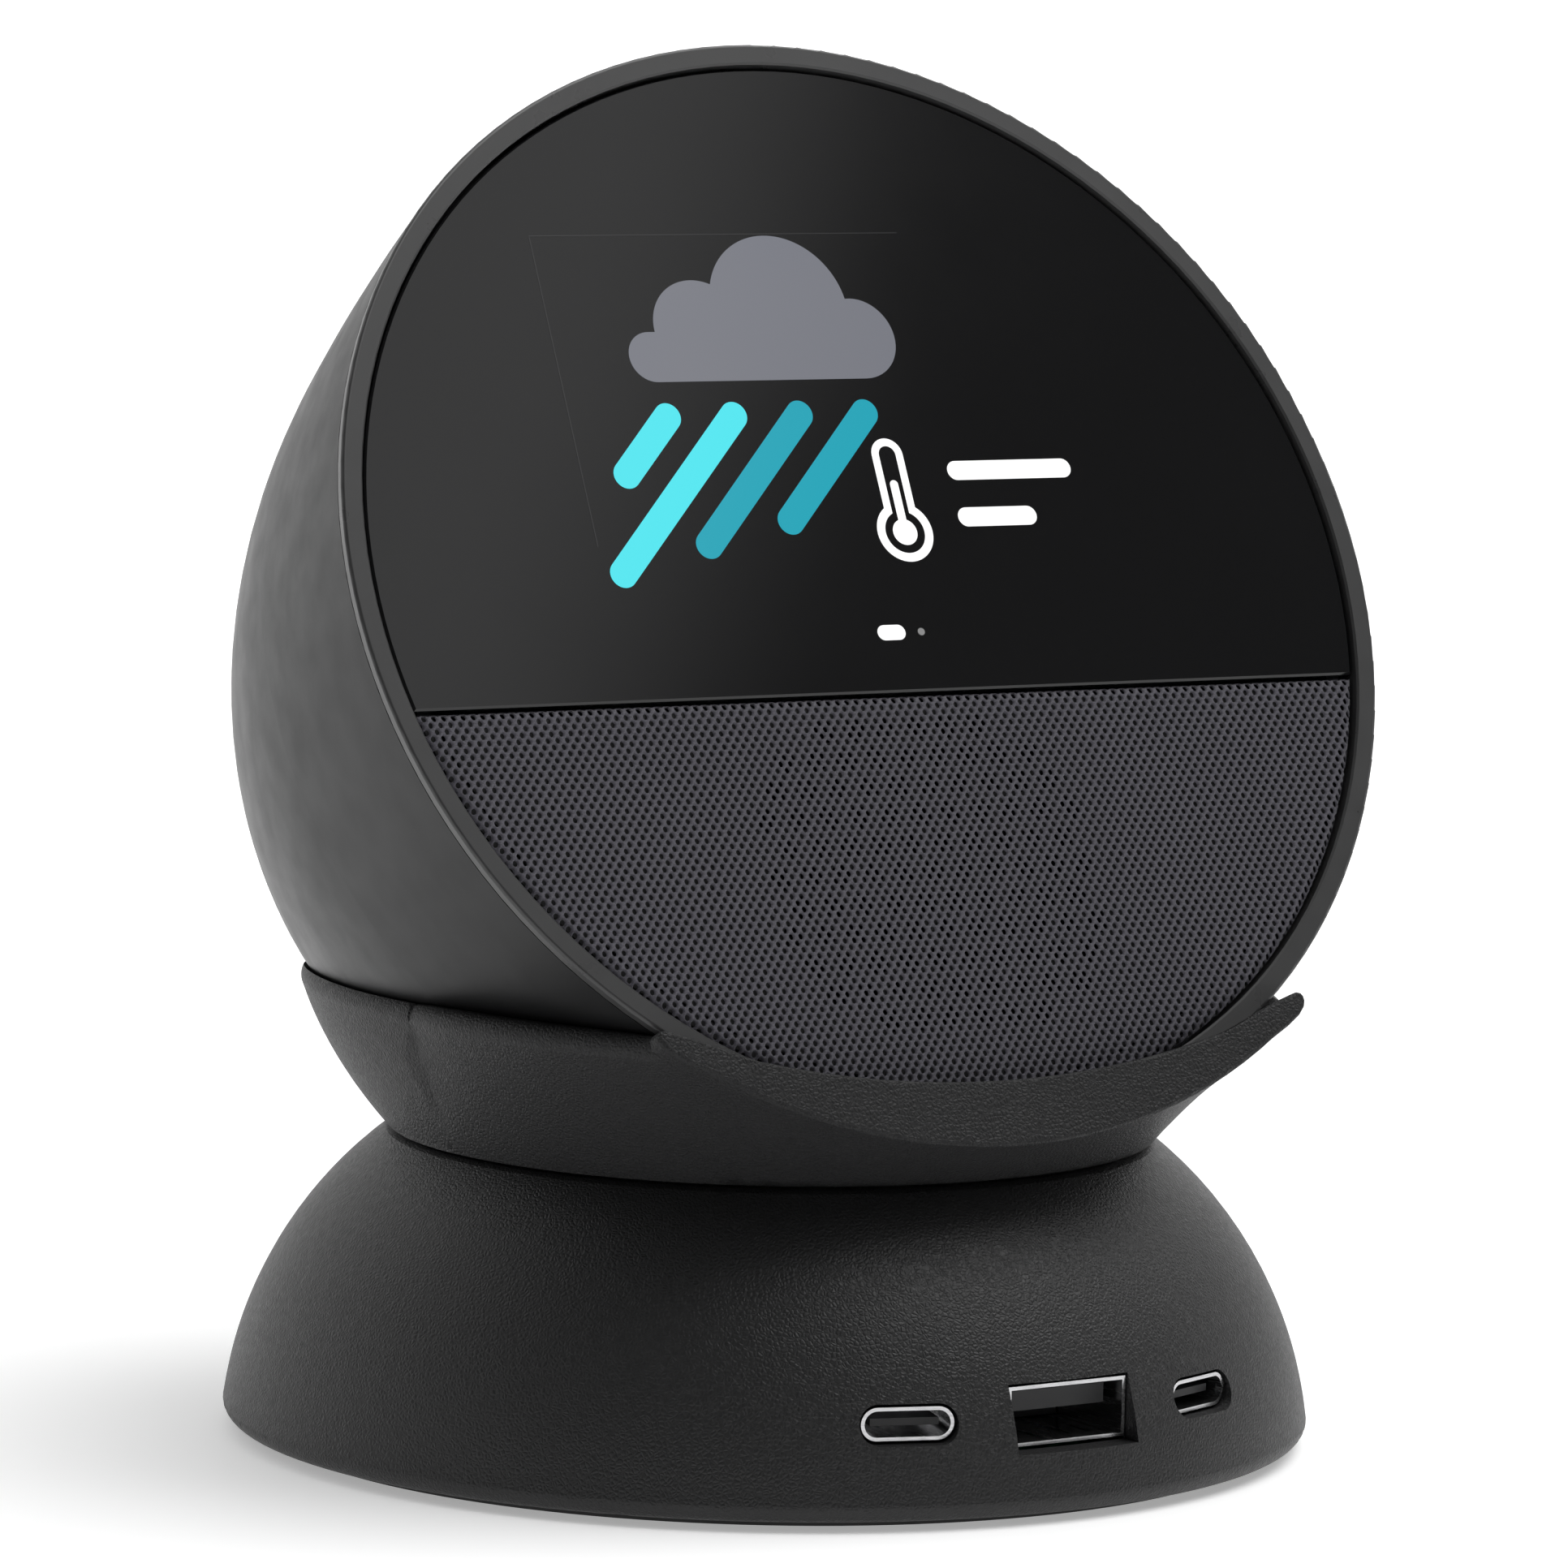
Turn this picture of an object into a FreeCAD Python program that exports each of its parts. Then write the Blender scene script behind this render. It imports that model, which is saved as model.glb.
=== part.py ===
import FreeCAD, Part
import math
import os
import Sketcher
from FreeCAD import Placement, Rotation, Vector

# A round smart display resting in a swivelling battery stand.
# World frame: +Z up, millimetres, origin on the stand's axis at floor level, the face looks to -Y.
# Head frame: x across the face, y up the face, z out of the face, origin at the face centre.

VALUES = {
    # head, as turned about the axis of the face
    "lean_angle": 27.29,          # how far the face leans back from upright
    "face_centre_y": -17.16,
    "face_centre_z": 86.45,
    "face_radius": 56.5,          # 113 mm across, the known width of the product
    "bow_slope_start": 5.86,      # slope of the side where it leaves the face
    "bow_slope_end": 10.7,
    "bow_radius": 328.0,          # nearly straight front part of the side
    "haunch_slope_end": 35.2,
    "haunch_radius": 102.5,       # rounder rear part, which runs into a ball-shaped cap
    "shell_wall": 2.4,
    "underside_z": 33.7,          # flat underside of the head
    "seam_depth": 1.35,           # where the shell starts behind the bezel
    # front stack
    "bezel_inner": 54.32,
    "bezel_edge": 0.35,
    "bezel_depth": 1.2,
    "skirt_outer": 55.0,
    "skirt_depth": 5.5,
    "rebate_radius": 55.15,
    "rebate_depth": 5.8,
    "glass_radius": 53.95,
    "glass_recess": 0.5,
    "glass_thick": 1.1,
    "divider_y": -11.88,          # lower edge of the glass
    "divider_gap": 0.4,
    "cloth_thick": 0.9,
    "panel_wide": 64.0,
    "panel_high": 48.5,
    "panel_centre_y": 13.75,
    "panel_thick": 1.3,
    "tray_wide": 65.6,
    "tray_high": 50.2,
    "tray_deep": 1.7,
    "sheet_wall": 0.6,
    "chassis_radius": 53.2,
    "chassis_rim": 1.4,
    "chassis_front": 1.65,
    "chassis_plate_front": 4.75,
    "chassis_back": 6.2,
    "grille_hole": 1.15,
    "grille_pitch": 3.4,
    # speaker, turned about its own axis
    "speaker_y": -30.0,
    "flange_radius": 21.6,
    "flange_front": 6.9,
    "magnet_radius": 12.0,
    "pole_radius": 4.6,
    "gap_radius": 6.4,
    # boards
    "board_radius": 49.5,
    "board_low_y": -6.5,
    "board_front": 9.2,
    "board_thick": 1.2,
    "post_radius": 2.4,
    # top buttons
    "button_depth": 19.0,
    "button_spread": 15.0,
    "button_radius": 4.5,
    "button_hole": 4.85,
    "button_proud": 0.45,
    # cup
    "neck_z": 30.3,
    "neck_radius": 38.0,
    "cup_gap": 0.35,
    "cup_floor": 33.05,
    "lip_radius": 59.0,
    "lip_front": 2.3,
    "lip_inner_radius": 100.0,
    "lip_low_y": -52.4,
    "lip_half_wide": 35.8,
    "lip_edge": 0.4,
    "rim_z": 45.2,
    "rim_tilt": 1.5,
    "rim_round": 1.5,
    "cup_join": -4.0,             # where the front wall hands over to the rear bowl
    "bowl_mid_z": 36.5,
    "bowl_mid_side": 40.7,
    "bowl_mid_back": 53.3,
    "bowl_top_z": 43.2,
    "bowl_top_side": 43.05,
    "bowl_top_back": 58.9,
    "spindle_radius": 12.0,
    "spindle_bore": 8.5,
    "spindle_low": 23.4,
    # dome
    "dome_arc_rho": 13.63,
    "dome_arc_z": -2.56,
    "dome_arc_radius": 40.4,
    "dome_wall": 2.4,
    "dome_top": 29.9,
    "dome_low": 0.8,
    "dome_edge": 1.7,
    "dome_opening": 50.9,
    "roof_z": 27.5,
    "running_fit": 0.06,
    "plate_top": 2.8,
    "cell_radius": 9.2,
    "cell_long": 65.0,
    "cell_z": 13.0,
    "cell_pitch": 19.2,
    "board_top": 6.95,
    # sockets
    "port_turn": 4.1,
    "port_spread": 19.4,
    "port_z": 9.9,
    "usb_a_wide": 13.7,
    "usb_a_high": 5.8,
    "usb_a_mouth": 50.3,
    "usb_a_long": 14.0,
    "usb_c_wide": 9.1,
    "usb_c_high": 3.2,
    "usb_c_mouth": 51.2,
    "usb_c_long": 7.4,
    "port_gap": 0.3,
    "metal": 0.35,
}

doc = FreeCAD.newDocument("SmartDisplay")
sheet = doc.addObject("Spreadsheet::Sheet", "Dims")
for row, (name, number) in enumerate(VALUES.items(), 1):
    sheet.set("A%d" % row, name)
    sheet.set("B%d" % row, str(number))
    sheet.setAlias("B%d" % row, name)
doc.recompute()


# ---- numbers that remember their formula ------------------------------------------------------
class Size:
    """A number together with the spreadsheet formula it comes from."""

    def __init__(self, number, formula):
        self.number = float(number)
        self.formula = formula

    def _with(self, other, sign, number, swap=False):
        left, right = (other, self) if swap else (self, other)
        words = [p.formula if isinstance(p, Size) else "(%r)" % float(p) for p in (left, right)]
        return Size(number, "(%s %s %s)" % (words[0], sign, words[1]))

    def __add__(self, other):
        return self._with(other, "+", self.number + num(other))

    def __sub__(self, other):
        return self._with(other, "-", self.number - num(other))

    def __mul__(self, other):
        return self._with(other, "*", self.number * num(other))

    def __truediv__(self, other):
        return self._with(other, "/", self.number / num(other))

    def __radd__(self, other):
        return self._with(other, "+", num(other) + self.number, swap=True)

    def __rsub__(self, other):
        return self._with(other, "-", num(other) - self.number, swap=True)

    def __rmul__(self, other):
        return self._with(other, "*", num(other) * self.number, swap=True)

    def __neg__(self):
        return Size(-self.number, "(0 - %s)" % self.formula)


def num(value):
    return value.number if isinstance(value, Size) else float(value)


def sine(angle):
    return Size(math.sin(math.radians(angle.number)), "sin(%s)" % angle.formula)


def cosine(angle):
    return Size(math.cos(math.radians(angle.number)), "cos(%s)" % angle.formula)


def root(value):
    return Size(math.sqrt(value.number), "sqrt(%s)" % value.formula)


class Named:
    """D.face_radius gives the spreadsheet value called face_radius."""

    def __getattr__(self, name):
        return Size(VALUES[name], "Dims." + name)


D = Named()


# ---- small building tools -----------------------------------------------------------------------
def bind(obj, **sizes):
    for prop, value in sizes.items():
        setattr(obj, prop, num(value))
        if isinstance(value, Size):
            obj.setExpression(prop, value.formula)
    return obj


def move(obj, x=0, y=0, z=0, turn=None):
    """Place an object; positions that are sizes stay tied to the spreadsheet."""
    obj.Placement = Placement(Vector(num(x), num(y), num(z)), turn or Rotation())
    for letter, value in zip("xyz", (x, y, z)):
        if isinstance(value, Size):
            obj.setExpression("Placement.Base." + letter, value.formula)
    return obj


def rod(name, radius, height, x=0, y=0, z=0, turn=None):
    obj = doc.addObject("Part::Cylinder", name)
    return move(bind(obj, Radius=radius, Height=height), x, y, z, turn)


def block(name, wide, deep, high, x=0, y=0, z=0):
    """A box centred on x and y that stands on z."""
    obj = doc.addObject("Part::Box", name)
    bind(obj, Length=wide, Width=deep, Height=high)
    return move(obj, x - wide * 0.5 if isinstance(wide, Size) else x - wide / 2.0,
                y - deep * 0.5 if isinstance(deep, Size) else y - deep / 2.0, z)


def fuse(name, *shapes):
    obj = doc.addObject("Part::MultiFuse", name)
    obj.Refine = False
    obj.Shapes = list(shapes)
    return obj


def cut(name, base, *tools):
    obj = doc.addObject("Part::Cut", name)
    obj.Refine = False
    obj.Base = base
    obj.Tool = tools[0] if len(tools) == 1 else fuse(name + "_tools", *tools)
    return obj


def common(name, first, second):
    obj = doc.addObject("Part::MultiCommon", name)
    obj.Refine = False
    obj.Shapes = [first, second]
    return obj


def sketch(body, name, plane, path):
    """Closed outline: corners (x, y), or (x, y, r) for an arc that arrives there (r < 0 turns right)."""
    sk = body.newObject("Sketcher::SketchObject", name)
    support = [f for f in body.Origin.OriginFeatures if f.Role == plane + "_Plane"][0]
    sk.AttachmentSupport = [(support, "")]
    sk.MapMode = "FlatFace"
    ends = []
    for i, corner in enumerate(path):
        a = Vector(num(path[i - 1][0]), num(path[i - 1][1]), 0)
        b = Vector(num(corner[0]), num(corner[1]), 0)
        if len(corner) == 2:
            ends.append((sk.addGeometry(Part.LineSegment(a, b), False), 1, 2))
            continue
        radius = abs(num(corner[2]))
        left = num(corner[2]) > 0
        chord = b - a
        side = Vector(-chord.y, chord.x, 0).normalize() * (1 if left else -1)
        centre = (a + b) * 0.5 + side * math.sqrt(max(radius ** 2 - chord.Length ** 2 / 4, 0))
        first, last = (a, b) if left else (b, a)
        angles = [math.atan2(p.y - centre.y, p.x - centre.x) for p in (first, last)]
        circle = Part.Circle(centre, Vector(0, 0, 1), radius)
        geo = sk.addGeometry(Part.ArcOfCircle(circle, angles[0], angles[1]), False)
        ends.append((geo, 1, 2) if left else (geo, 2, 1))
        at = sk.addConstraint(Sketcher.Constraint("Radius", geo, radius))
        if isinstance(corner[2], Size):
            size = corner[2] if left else -corner[2]
            sk.setExpression("Constraints[%d]" % at, size.formula)
    for i, (geo, start, end) in enumerate(ends):
        after = ends[(i + 1) % len(ends)]
        sk.addConstraint(Sketcher.Constraint("Coincident", geo, end, after[0], after[1]))
        for kind, axis, value in (("DistanceX", -2, path[i][0]), ("DistanceY", -1, path[i][1])):
            if not isinstance(value, Size) and abs(value) < 1e-9:
                sk.addConstraint(Sketcher.Constraint("PointOnObject", geo, end, axis))
                continue
            at = sk.addConstraint(Sketcher.Constraint(kind, geo, end, num(value)))
            if isinstance(value, Size):
                sk.setExpression("Constraints[%d]" % at, value.formula)
    return sk


def turned(name, path, angle=360.0):
    """A body made by turning an outline (radius, z) about Z."""
    body = doc.addObject("PartDesign::Body", name)
    sk = sketch(body, name + "_profile", "XZ", path)
    turn = body.newObject("PartDesign::Revolution", name + "_turn")
    turn.Profile = sk
    turn.ReferenceAxis = (sk, ["V_Axis"])
    turn.Angle = angle
    sk.Visibility = False
    return body


def padded(name, path, height):
    """A body made by raising an outline (x, y) along Z."""
    body = doc.addObject("PartDesign::Body", name)
    sk = sketch(body, name + "_outline", "XY", path)
    pad = body.newObject("PartDesign::Pad", name + "_pad")
    pad.Profile = sk
    bind(pad, Length=height)
    sk.Visibility = False
    return body


def soften(body, kind, size, wanted):
    """Fillet or chamfer those edges of the body whose middle passes the test."""
    doc.recompute()
    tip = body.Tip
    names = ["Edge%d" % i for i, e in enumerate(tip.Shape.Edges, 1)
             if wanted(e.valueAt((e.FirstParameter + e.LastParameter) / 2))]
    edge = body.newObject("PartDesign::" + kind, body.Name + "_" + kind.lower())
    edge.Base = (tip, names)
    bind(edge, **{"Radius" if kind == "Fillet" else "Size": size})
    return body


def slot_bar(name, wide, high, long, y, z):
    """A bar with half-round ends, lying along Y: the outline of a USB-C socket."""
    along = Rotation(Vector(1, 0, 0), -90)
    reach = (wide - high) * 0.5
    parts = [rod("%s_end%d" % (name, k), high * 0.5, long, side, y, z, along)
             for k, side in enumerate((reach, -reach))]
    middle = block(name + "_middle", wide - high, long, high, 0, y + long * 0.5, z - high * 0.5)
    return fuse(name, middle, *parts)


# ---- where the head stands ------------------------------------------------------------------------
HEAD = Placement(Vector(0, VALUES["face_centre_y"], VALUES["face_centre_z"]),
                 Rotation(Vector(1, 0, 0), 90 - VALUES["lean_angle"]))


def seat(obj, placement):
    """Give a piece a fixed placement, in place of any position formula it had."""
    for letter in "xyz":
        obj.setExpression("Placement.Base." + letter, None)
    obj.Placement = placement
    return obj


def in_head(obj, x=0, y=0, z=0, turn=None):
    """Seat a finished piece in the head frame."""
    local = Placement(Vector(num(x), num(y), num(z)), turn or Rotation())
    return seat(obj, HEAD.multiply(local))


def level(obj):
    """Keep a tool level with the world although it works inside the head frame."""
    return seat(obj, HEAD.inverse().multiply(obj.Placement))


def head_path(offset, front=None):
    """Outline of the head (radius, z), grown outwards by offset: two arcs and a ball-shaped cap."""
    s_a, s_b, s_c = D.bow_slope_start, D.bow_slope_end, D.haunch_slope_end
    rho_b = D.face_radius - D.bow_radius * (cosine(s_a) - cosine(s_b))
    z_b = -(D.bow_radius * (sine(s_b) - sine(s_a)))
    rho_c = rho_b - D.haunch_radius * (cosine(s_b) - cosine(s_c))
    z_c = z_b - D.haunch_radius * (sine(s_c) - sine(s_b))
    cap = rho_c / cosine(s_c)
    start = (D.face_radius + offset * cosine(s_a), -(offset * sine(s_a)))
    top = start[1] if front is None else front
    path = [(0, top), (start[0], top)]
    if front is not None:
        path.append(start)
    path.append((rho_b + offset * cosine(s_b), z_b - offset * sine(s_b), -(D.bow_radius + offset)))
    path.append((rho_c + offset * cosine(s_c), z_c - offset * sine(s_c),
                 -(D.haunch_radius + offset)))
    path.append((0, z_c + cap * sine(s_c) - cap - offset, -(cap + offset)))
    return path


def head_solid(name, offset, front=None):
    return turned(name, head_path(offset, front))


# ---- head: shell and front stack ------------------------------------------------------------------
def surface_at(depth):
    """Radius and slope (degrees) of the head's side at a depth behind the face."""
    s_a = math.radians(VALUES["bow_slope_start"])
    bow = VALUES["bow_radius"]
    slope = math.asin((depth + bow * math.sin(s_a)) / bow)
    return VALUES["face_radius"] - bow * (math.cos(s_a) - math.cos(slope)), math.degrees(slope)


BUTTON_RHO, BUTTON_SLOPE = surface_at(VALUES["button_depth"])


def on_side(spin, lift=0.0):
    """Frame on the head's upper side: z outwards, at an angle about the face axis."""
    round_axis = Placement(Vector(0, 0, 0), Rotation(Vector(0, 0, 1), spin))
    outward = Placement(Vector(0, BUTTON_RHO, -VALUES["button_depth"]),
                        Rotation(Vector(1, 0, 0), -(90 + BUTTON_SLOPE)))
    return round_axis.multiply(outward).multiply(Placement(Vector(0, 0, lift), Rotation()))


spread = VALUES["button_spread"]
BUTTONS = {"volume_up_button": spread, "mute_button": 0.0, "volume_down_button": -spread}
JACK_Y, JACK_Z = 48.0, 59.0

shell_tools = [head_solid("shell_inside", -D.shell_wall),
               rod("shell_front", 60.0, 4.0, 0, 0, -D.seam_depth),
               rod("shell_rebate", D.rebate_radius, 8.0, 0, 0, -D.rebate_depth),
               level(block("shell_underside", 140.0, 140.0, 40.0, 0, 10.0, D.underside_z - 40.0)),
               level(rod("jack_hole", 5.4, 30.0, 0, JACK_Y, JACK_Z, Rotation(Vector(1, 0, 0), -90)))]
for name, spin in BUTTONS.items():
    hole = rod("hole_" + name, D.button_hole, 8.0)
    hole.Placement = on_side(spin, -5.0)
    shell_tools.append(hole)
for k, spin in enumerate((-spread / 2, spread / 2)):
    hole = rod("mic_hole%d" % k, 0.5, 8.0)
    hole.Placement = on_side(spin, -5.0)
    shell_tools.append(hole)
in_head(cut("rear_shell", head_solid("shell_outside", 0.0), *shell_tools))

edge = D.bezel_edge
in_head(turned("bezel_ring", [
    (D.bezel_inner, -D.skirt_depth), (D.skirt_outer, -D.skirt_depth),
    (D.skirt_outer, -D.bezel_depth), (D.face_radius - 0.12, -D.bezel_depth),
    (D.face_radius, -edge), (D.face_radius - edge, 0, edge),
    (D.bezel_inner + 0.2, 0), (D.bezel_inner, -0.2)]))


def part_disc(name, radius, cut_y, height, above):
    """The part of a disc above or below a level chord."""
    half = root(radius * radius - cut_y * cut_y)
    if above:
        path = [(-half, cut_y), (half, cut_y), (0, radius, radius), (-half, cut_y, radius)]
        path = path[1:]
    else:
        path = [(-half, cut_y), (0, -radius, radius), (half, cut_y, radius)]
    return padded(name, path, height)


glass = part_disc("cover_glass", D.glass_radius, D.divider_y, D.glass_thick, True)
soften(glass, "Chamfer", 0.2, lambda p: p.z > VALUES["glass_thick"] - 0.01)
in_head(glass, z=-(D.glass_recess + D.glass_thick))

cloth = part_disc("grille_cloth", D.glass_radius, D.divider_y - D.divider_gap, D.cloth_thick, False)
soften(cloth, "Fillet", 0.3, lambda p: p.z > VALUES["cloth_thick"] - 0.01)
in_head(cloth, z=-(D.glass_recess + D.cloth_thick))

in_head(block("display_panel", D.panel_wide, D.panel_high, D.panel_thick, 0, 0, 0),
        -D.panel_wide * 0.5, D.panel_centre_y - D.panel_high * 0.5, -(D.chassis_front + D.panel_thick))

tray_z = D.chassis_plate_front - 0.05
in_head(cut("backlight_tray",
            block("tray_outside", D.tray_wide, D.tray_high, D.tray_deep, 0, D.panel_centre_y, -tray_z),
            block("tray_inside", D.tray_wide - D.sheet_wall * 2, D.tray_high - D.sheet_wall * 2,
                  D.tray_deep, 0, D.panel_centre_y, D.sheet_wall - tray_z)))

POSTS = ((36.0, 0.0), (-36.0, 0.0), (27.0, 37.0), (-27.0, 37.0))
chassis = [cut("chassis_cup",
               rod("chassis_disc", D.chassis_radius, D.chassis_back - D.chassis_front,
                   0, 0, -D.chassis_back),
               rod("chassis_well", D.chassis_radius - D.chassis_rim, 6.0,
                   0, 0, -D.chassis_plate_front)),
           block("chassis_bar", 92.0, 1.2, 1.6, 0, D.divider_y - 1.1, -D.chassis_plate_front)]
chassis += [rod("post%d" % k, D.post_radius, D.board_front - D.chassis_back, x, y, -D.board_front)
            for k, (x, y) in enumerate(POSTS)]
holes = [rod("chassis_window", 19.8, 6.0, 0, D.speaker_y, -D.chassis_back - 1.0),
         block("chassis_slot", 24.0, 3.0, 6.0, 0, 30.0, -D.chassis_back - 1.0)]
holes += [rod("post_hole%d" % k, 0.8, 8.0, x, y, -D.board_front - 1.0)
          for k, (x, y) in enumerate(POSTS)]
in_head(cut("front_chassis", fuse("chassis_solid", *chassis), *holes))

frame = part_disc("grille_plate", D.chassis_radius - D.chassis_rim - 0.2,
                  D.divider_y - 0.8, 1.4, False)
pitch = VALUES["grille_pitch"]
punches = []
for row in range(-5, 6):
    for col in range(-5, 6):
        x = (col + 0.5 * (row % 2)) * pitch
        y = row * pitch * math.sqrt(3) / 2
        if math.hypot(x, y) < 5.4 * pitch:
            punches.append(rod("punch%d" % len(punches), D.grille_hole, 4.0,
                               x, D.speaker_y + y, -1.0))
in_head(cut("grille_frame", frame, *punches), z=-2.9)

# ---- head: speaker ----------------------------------------------------------------------------------
f = D.flange_front
basket = turned("basket_pressing", [
    (18.6, -f), (D.flange_radius, -f), (D.flange_radius, -(f + 1.0)), (20.3, -(f + 1.0)),
    (12.5, -(f + 9.0)), (7.0, -(f + 9.0)), (7.0, -(f + 8.2)), (12.0, -(f + 8.2)),
    (18.6, -(f + 1.2))])
windows = [rod("basket_window%d" % k, 3.2, 30.0, 0, 0, -(f + 4.6),
               Rotation(Vector(0, 0, 1), 60 * k + 30).multiply(Rotation(Vector(0, 1, 0), 90)))
           for k in range(6)]
in_head(cut("speaker_basket", basket, *windows), y=D.speaker_y)

back = f + 9.05
in_head(turned("speaker_magnet", [
    (0, -back - 8.2), (D.magnet_radius - 0.6, -back - 8.2), (D.magnet_radius - 0.6, -back - 6.4),
    (D.magnet_radius, -back - 6.4), (D.magnet_radius, -back - 1.5),
    (D.magnet_radius - 0.6, -back - 1.5), (D.magnet_radius - 0.6, -back),
    (D.gap_radius, -back), (D.gap_radius, -back - 6.0), (D.pole_radius, -back - 6.0),
    (D.pole_radius, -back), (0, -back)]), y=D.speaker_y)
in_head(turned("voice_coil", [(5.1, -back - 3.6), (5.9, -back - 3.6), (5.9, -12.2), (5.1, -12.2)]),
        y=D.speaker_y)
in_head(turned("speaker_cone", [(5.1, -12.15), (6.1, -12.15), (16.0, -7.7), (15.7, -7.1),
                                (5.1, -11.6)]), y=D.speaker_y)
in_head(turned("dust_cap", [(0, -9.7), (0, -9.25), (6.0, -10.75, -12.75), (6.0, -11.15)]),
        y=D.speaker_y)
in_head(turned("speaker_surround", [
    (21.2, -6.85), (21.2, -6.3), (19.2, -6.3), (16.6, -6.3, 1.3), (16.6, -6.85),
    (17.1, -6.85), (18.7, -6.85, -0.8)]), y=D.speaker_y)

LEAN = math.radians(VALUES["lean_angle"])


def level_y(world_z, z):
    """Height up the face at which a level plane cuts the head frame's depth z."""
    return (world_z - VALUES["face_centre_z"] - z * math.sin(LEAN)) / math.cos(LEAN)


def wedge(name, inset, front, half_wide):
    """Speaker box as a slice across the head: straight back, sloping floor."""
    back_z = -38.0 + inset
    floor = 36.4 + inset
    path = [(front, -9.0 - inset), (back_z, -9.0 - inset), (back_z, level_y(floor, back_z)),
            (front, level_y(floor, front))]
    body = padded(name, [(-z, y) for z, y in path], 2 * half_wide)
    body.Placement = Placement(Vector(-half_wide, 0, 0), Rotation(Vector(0, 1, 0), 90))
    return body


box_out = common("enclosure_outside", wedge("box_slice", 0.0, -8.0, 25.0),
                 head_solid("box_limit", -3.0))
box_in = common("enclosure_inside", wedge("box_hollow", 1.3, -9.4, 23.7),
                head_solid("box_hollow_limit", -4.3))
in_head(cut("speaker_enclosure", box_out, box_in,
            rod("enclosure_mouth", 20.7, 4.0, 0, D.speaker_y, -11.0)))


def wire(name, radius, start, middle, end, bend):
    """Round wire: straight run, one tangent bend, straight run."""
    body = doc.addObject("PartDesign::Body", name)
    path = body.newObject("Sketcher::SketchObject", name + "_path")
    support = [p for p in body.Origin.OriginFeatures if p.Role == "YZ_Plane"][0]
    path.AttachmentSupport = [(support, "")]
    path.MapMode = "FlatFace"
    a, m, b = (Vector(p[0], p[1], 0) for p in (start, middle, end))
    u, w = (a - m).normalize(), (b - m).normalize()
    half = math.acos(max(-1, min(1, u.dot(w)))) / 2
    back_off = bend / math.tan(half)
    p, q = m + u * back_off, m + w * back_off
    centre = m + (u + w).normalize() * (bend / math.sin(half))
    mid = centre + (m - centre).normalize() * bend
    arc = Part.Arc(p, mid, q)
    path.addGeometry([Part.LineSegment(a, p), arc, Part.LineSegment(q, b)], False)
    ring = body.newObject("Sketcher::SketchObject", name + "_ring")
    ring.addGeometry(Part.Circle(Vector(0, 0, 0), Vector(0, 0, 1), radius), False)
    ring.addConstraint(Sketcher.Constraint("Radius", 0, radius))
    ring.addConstraint(Sketcher.Constraint("Coincident", 0, 3, -1, 1))
    along = (p - a).normalize()
    ring.Placement = Placement(Vector(0, a.x, a.y),
                               Rotation(Vector(0, 0, 1), Vector(0, along.x, along.y)))
    pipe = body.newObject("PartDesign::AdditivePipe", name + "_pipe")
    pipe.Profile = ring
    pipe.Spine = path
    return body


leads = []
for k, x in enumerate((-2.2, 2.2)):
    lead = wire("lead%d" % k, 0.45, (-8.5, -13.0), (-8.5, -8.35), (-2.0, -8.35), 2.6)
    lead.Placement = Placement(Vector(x + 12, 0, 0), Rotation())
    leads.append(lead)

# ---- head: boards --------------------------------------------------------------------------------------
board = part_disc("board_blank", D.board_radius, D.board_low_y, D.board_thick, True)
screw_holes = [rod("board_hole%d" % k, 1.1, 4.0, x, y, -1.0) for k, (x, y) in enumerate(POSTS)]
in_head(cut("main_board", board, *screw_holes), z=-(D.board_front + D.board_thick))

rear = D.board_front + D.board_thick
in_head(fuse("shield_cans", block("can_large", 24.0, 20.0, 2.2, -13.0, 16.0, -(rear + 2.2)),
             block("can_small", 16.0, 12.0, 1.8, 13.0, 20.0, -(rear + 1.8)),
             block("can_radio", 12.0, 9.0, 1.6, 14.0, 4.0, -(rear + 1.6))))
spreader = rear + 3.9
in_head(fuse("heat_spreader", block("spreader_plate", 62.0, 32.0, 1.5, 0, 13.0, -spreader),
             block("spreader_left", 1.5, 32.0, 3.9, -31.75, 13.0, -spreader),
             block("spreader_right", 1.5, 32.0, 3.9, 31.75, 13.0, -spreader)))


def screws(name, places, head_r, head_h, shank_r, shank_l, z, up=1):
    """Pan-head screws whose heads sit at z; shanks run towards up."""
    solids = []
    for k, (x, y) in enumerate(places):
        low = z if up > 0 else z - head_h
        shank_z = z + head_h - 0.1 if up > 0 else z - head_h - shank_l + 0.1
        drive = z - 0.1 if up > 0 else z - 0.8
        solid = fuse("%s_body%d" % (name, k), rod("%s_head%d" % (name, k), head_r, head_h, x, y, low),
                     rod("%s_shank%d" % (name, k), shank_r, shank_l, x, y, shank_z))
        solids.append(cut("%s_one%d" % (name, k), solid,
                          block("%s_drive%d" % (name, k), 0.6, head_r * 1.3, 0.9, x, y, drive)))
    group = doc.addObject("Part::Compound", name)
    group.Links = solids
    return group


rear_n = num(rear)
in_head(screws("board_screws", POSTS, 1.9, 1.2, 0.75, 3.0, -rear_n - 1.2))

# button strip: a band bent round the face axis under the three buttons
slope = math.radians(BUTTON_SLOPE)


def band(name, outer, inner, half_long, arc):
    """A curved strip that follows the side of the head at a depth below the surface."""
    path = []
    for drop, along in ((outer, -half_long), (outer, half_long), (inner, half_long),
                        (inner, -half_long)):
        rho = BUTTON_RHO - drop * math.cos(slope) - along * math.sin(slope)
        z = -VALUES["button_depth"] + drop * math.sin(slope) - along * math.cos(slope)
        path.append((rho, z))
    body = turned(name, path, arc)
    return in_head(body, turn=Rotation(Vector(0, 0, 1), 90 - arc / 2))


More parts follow.
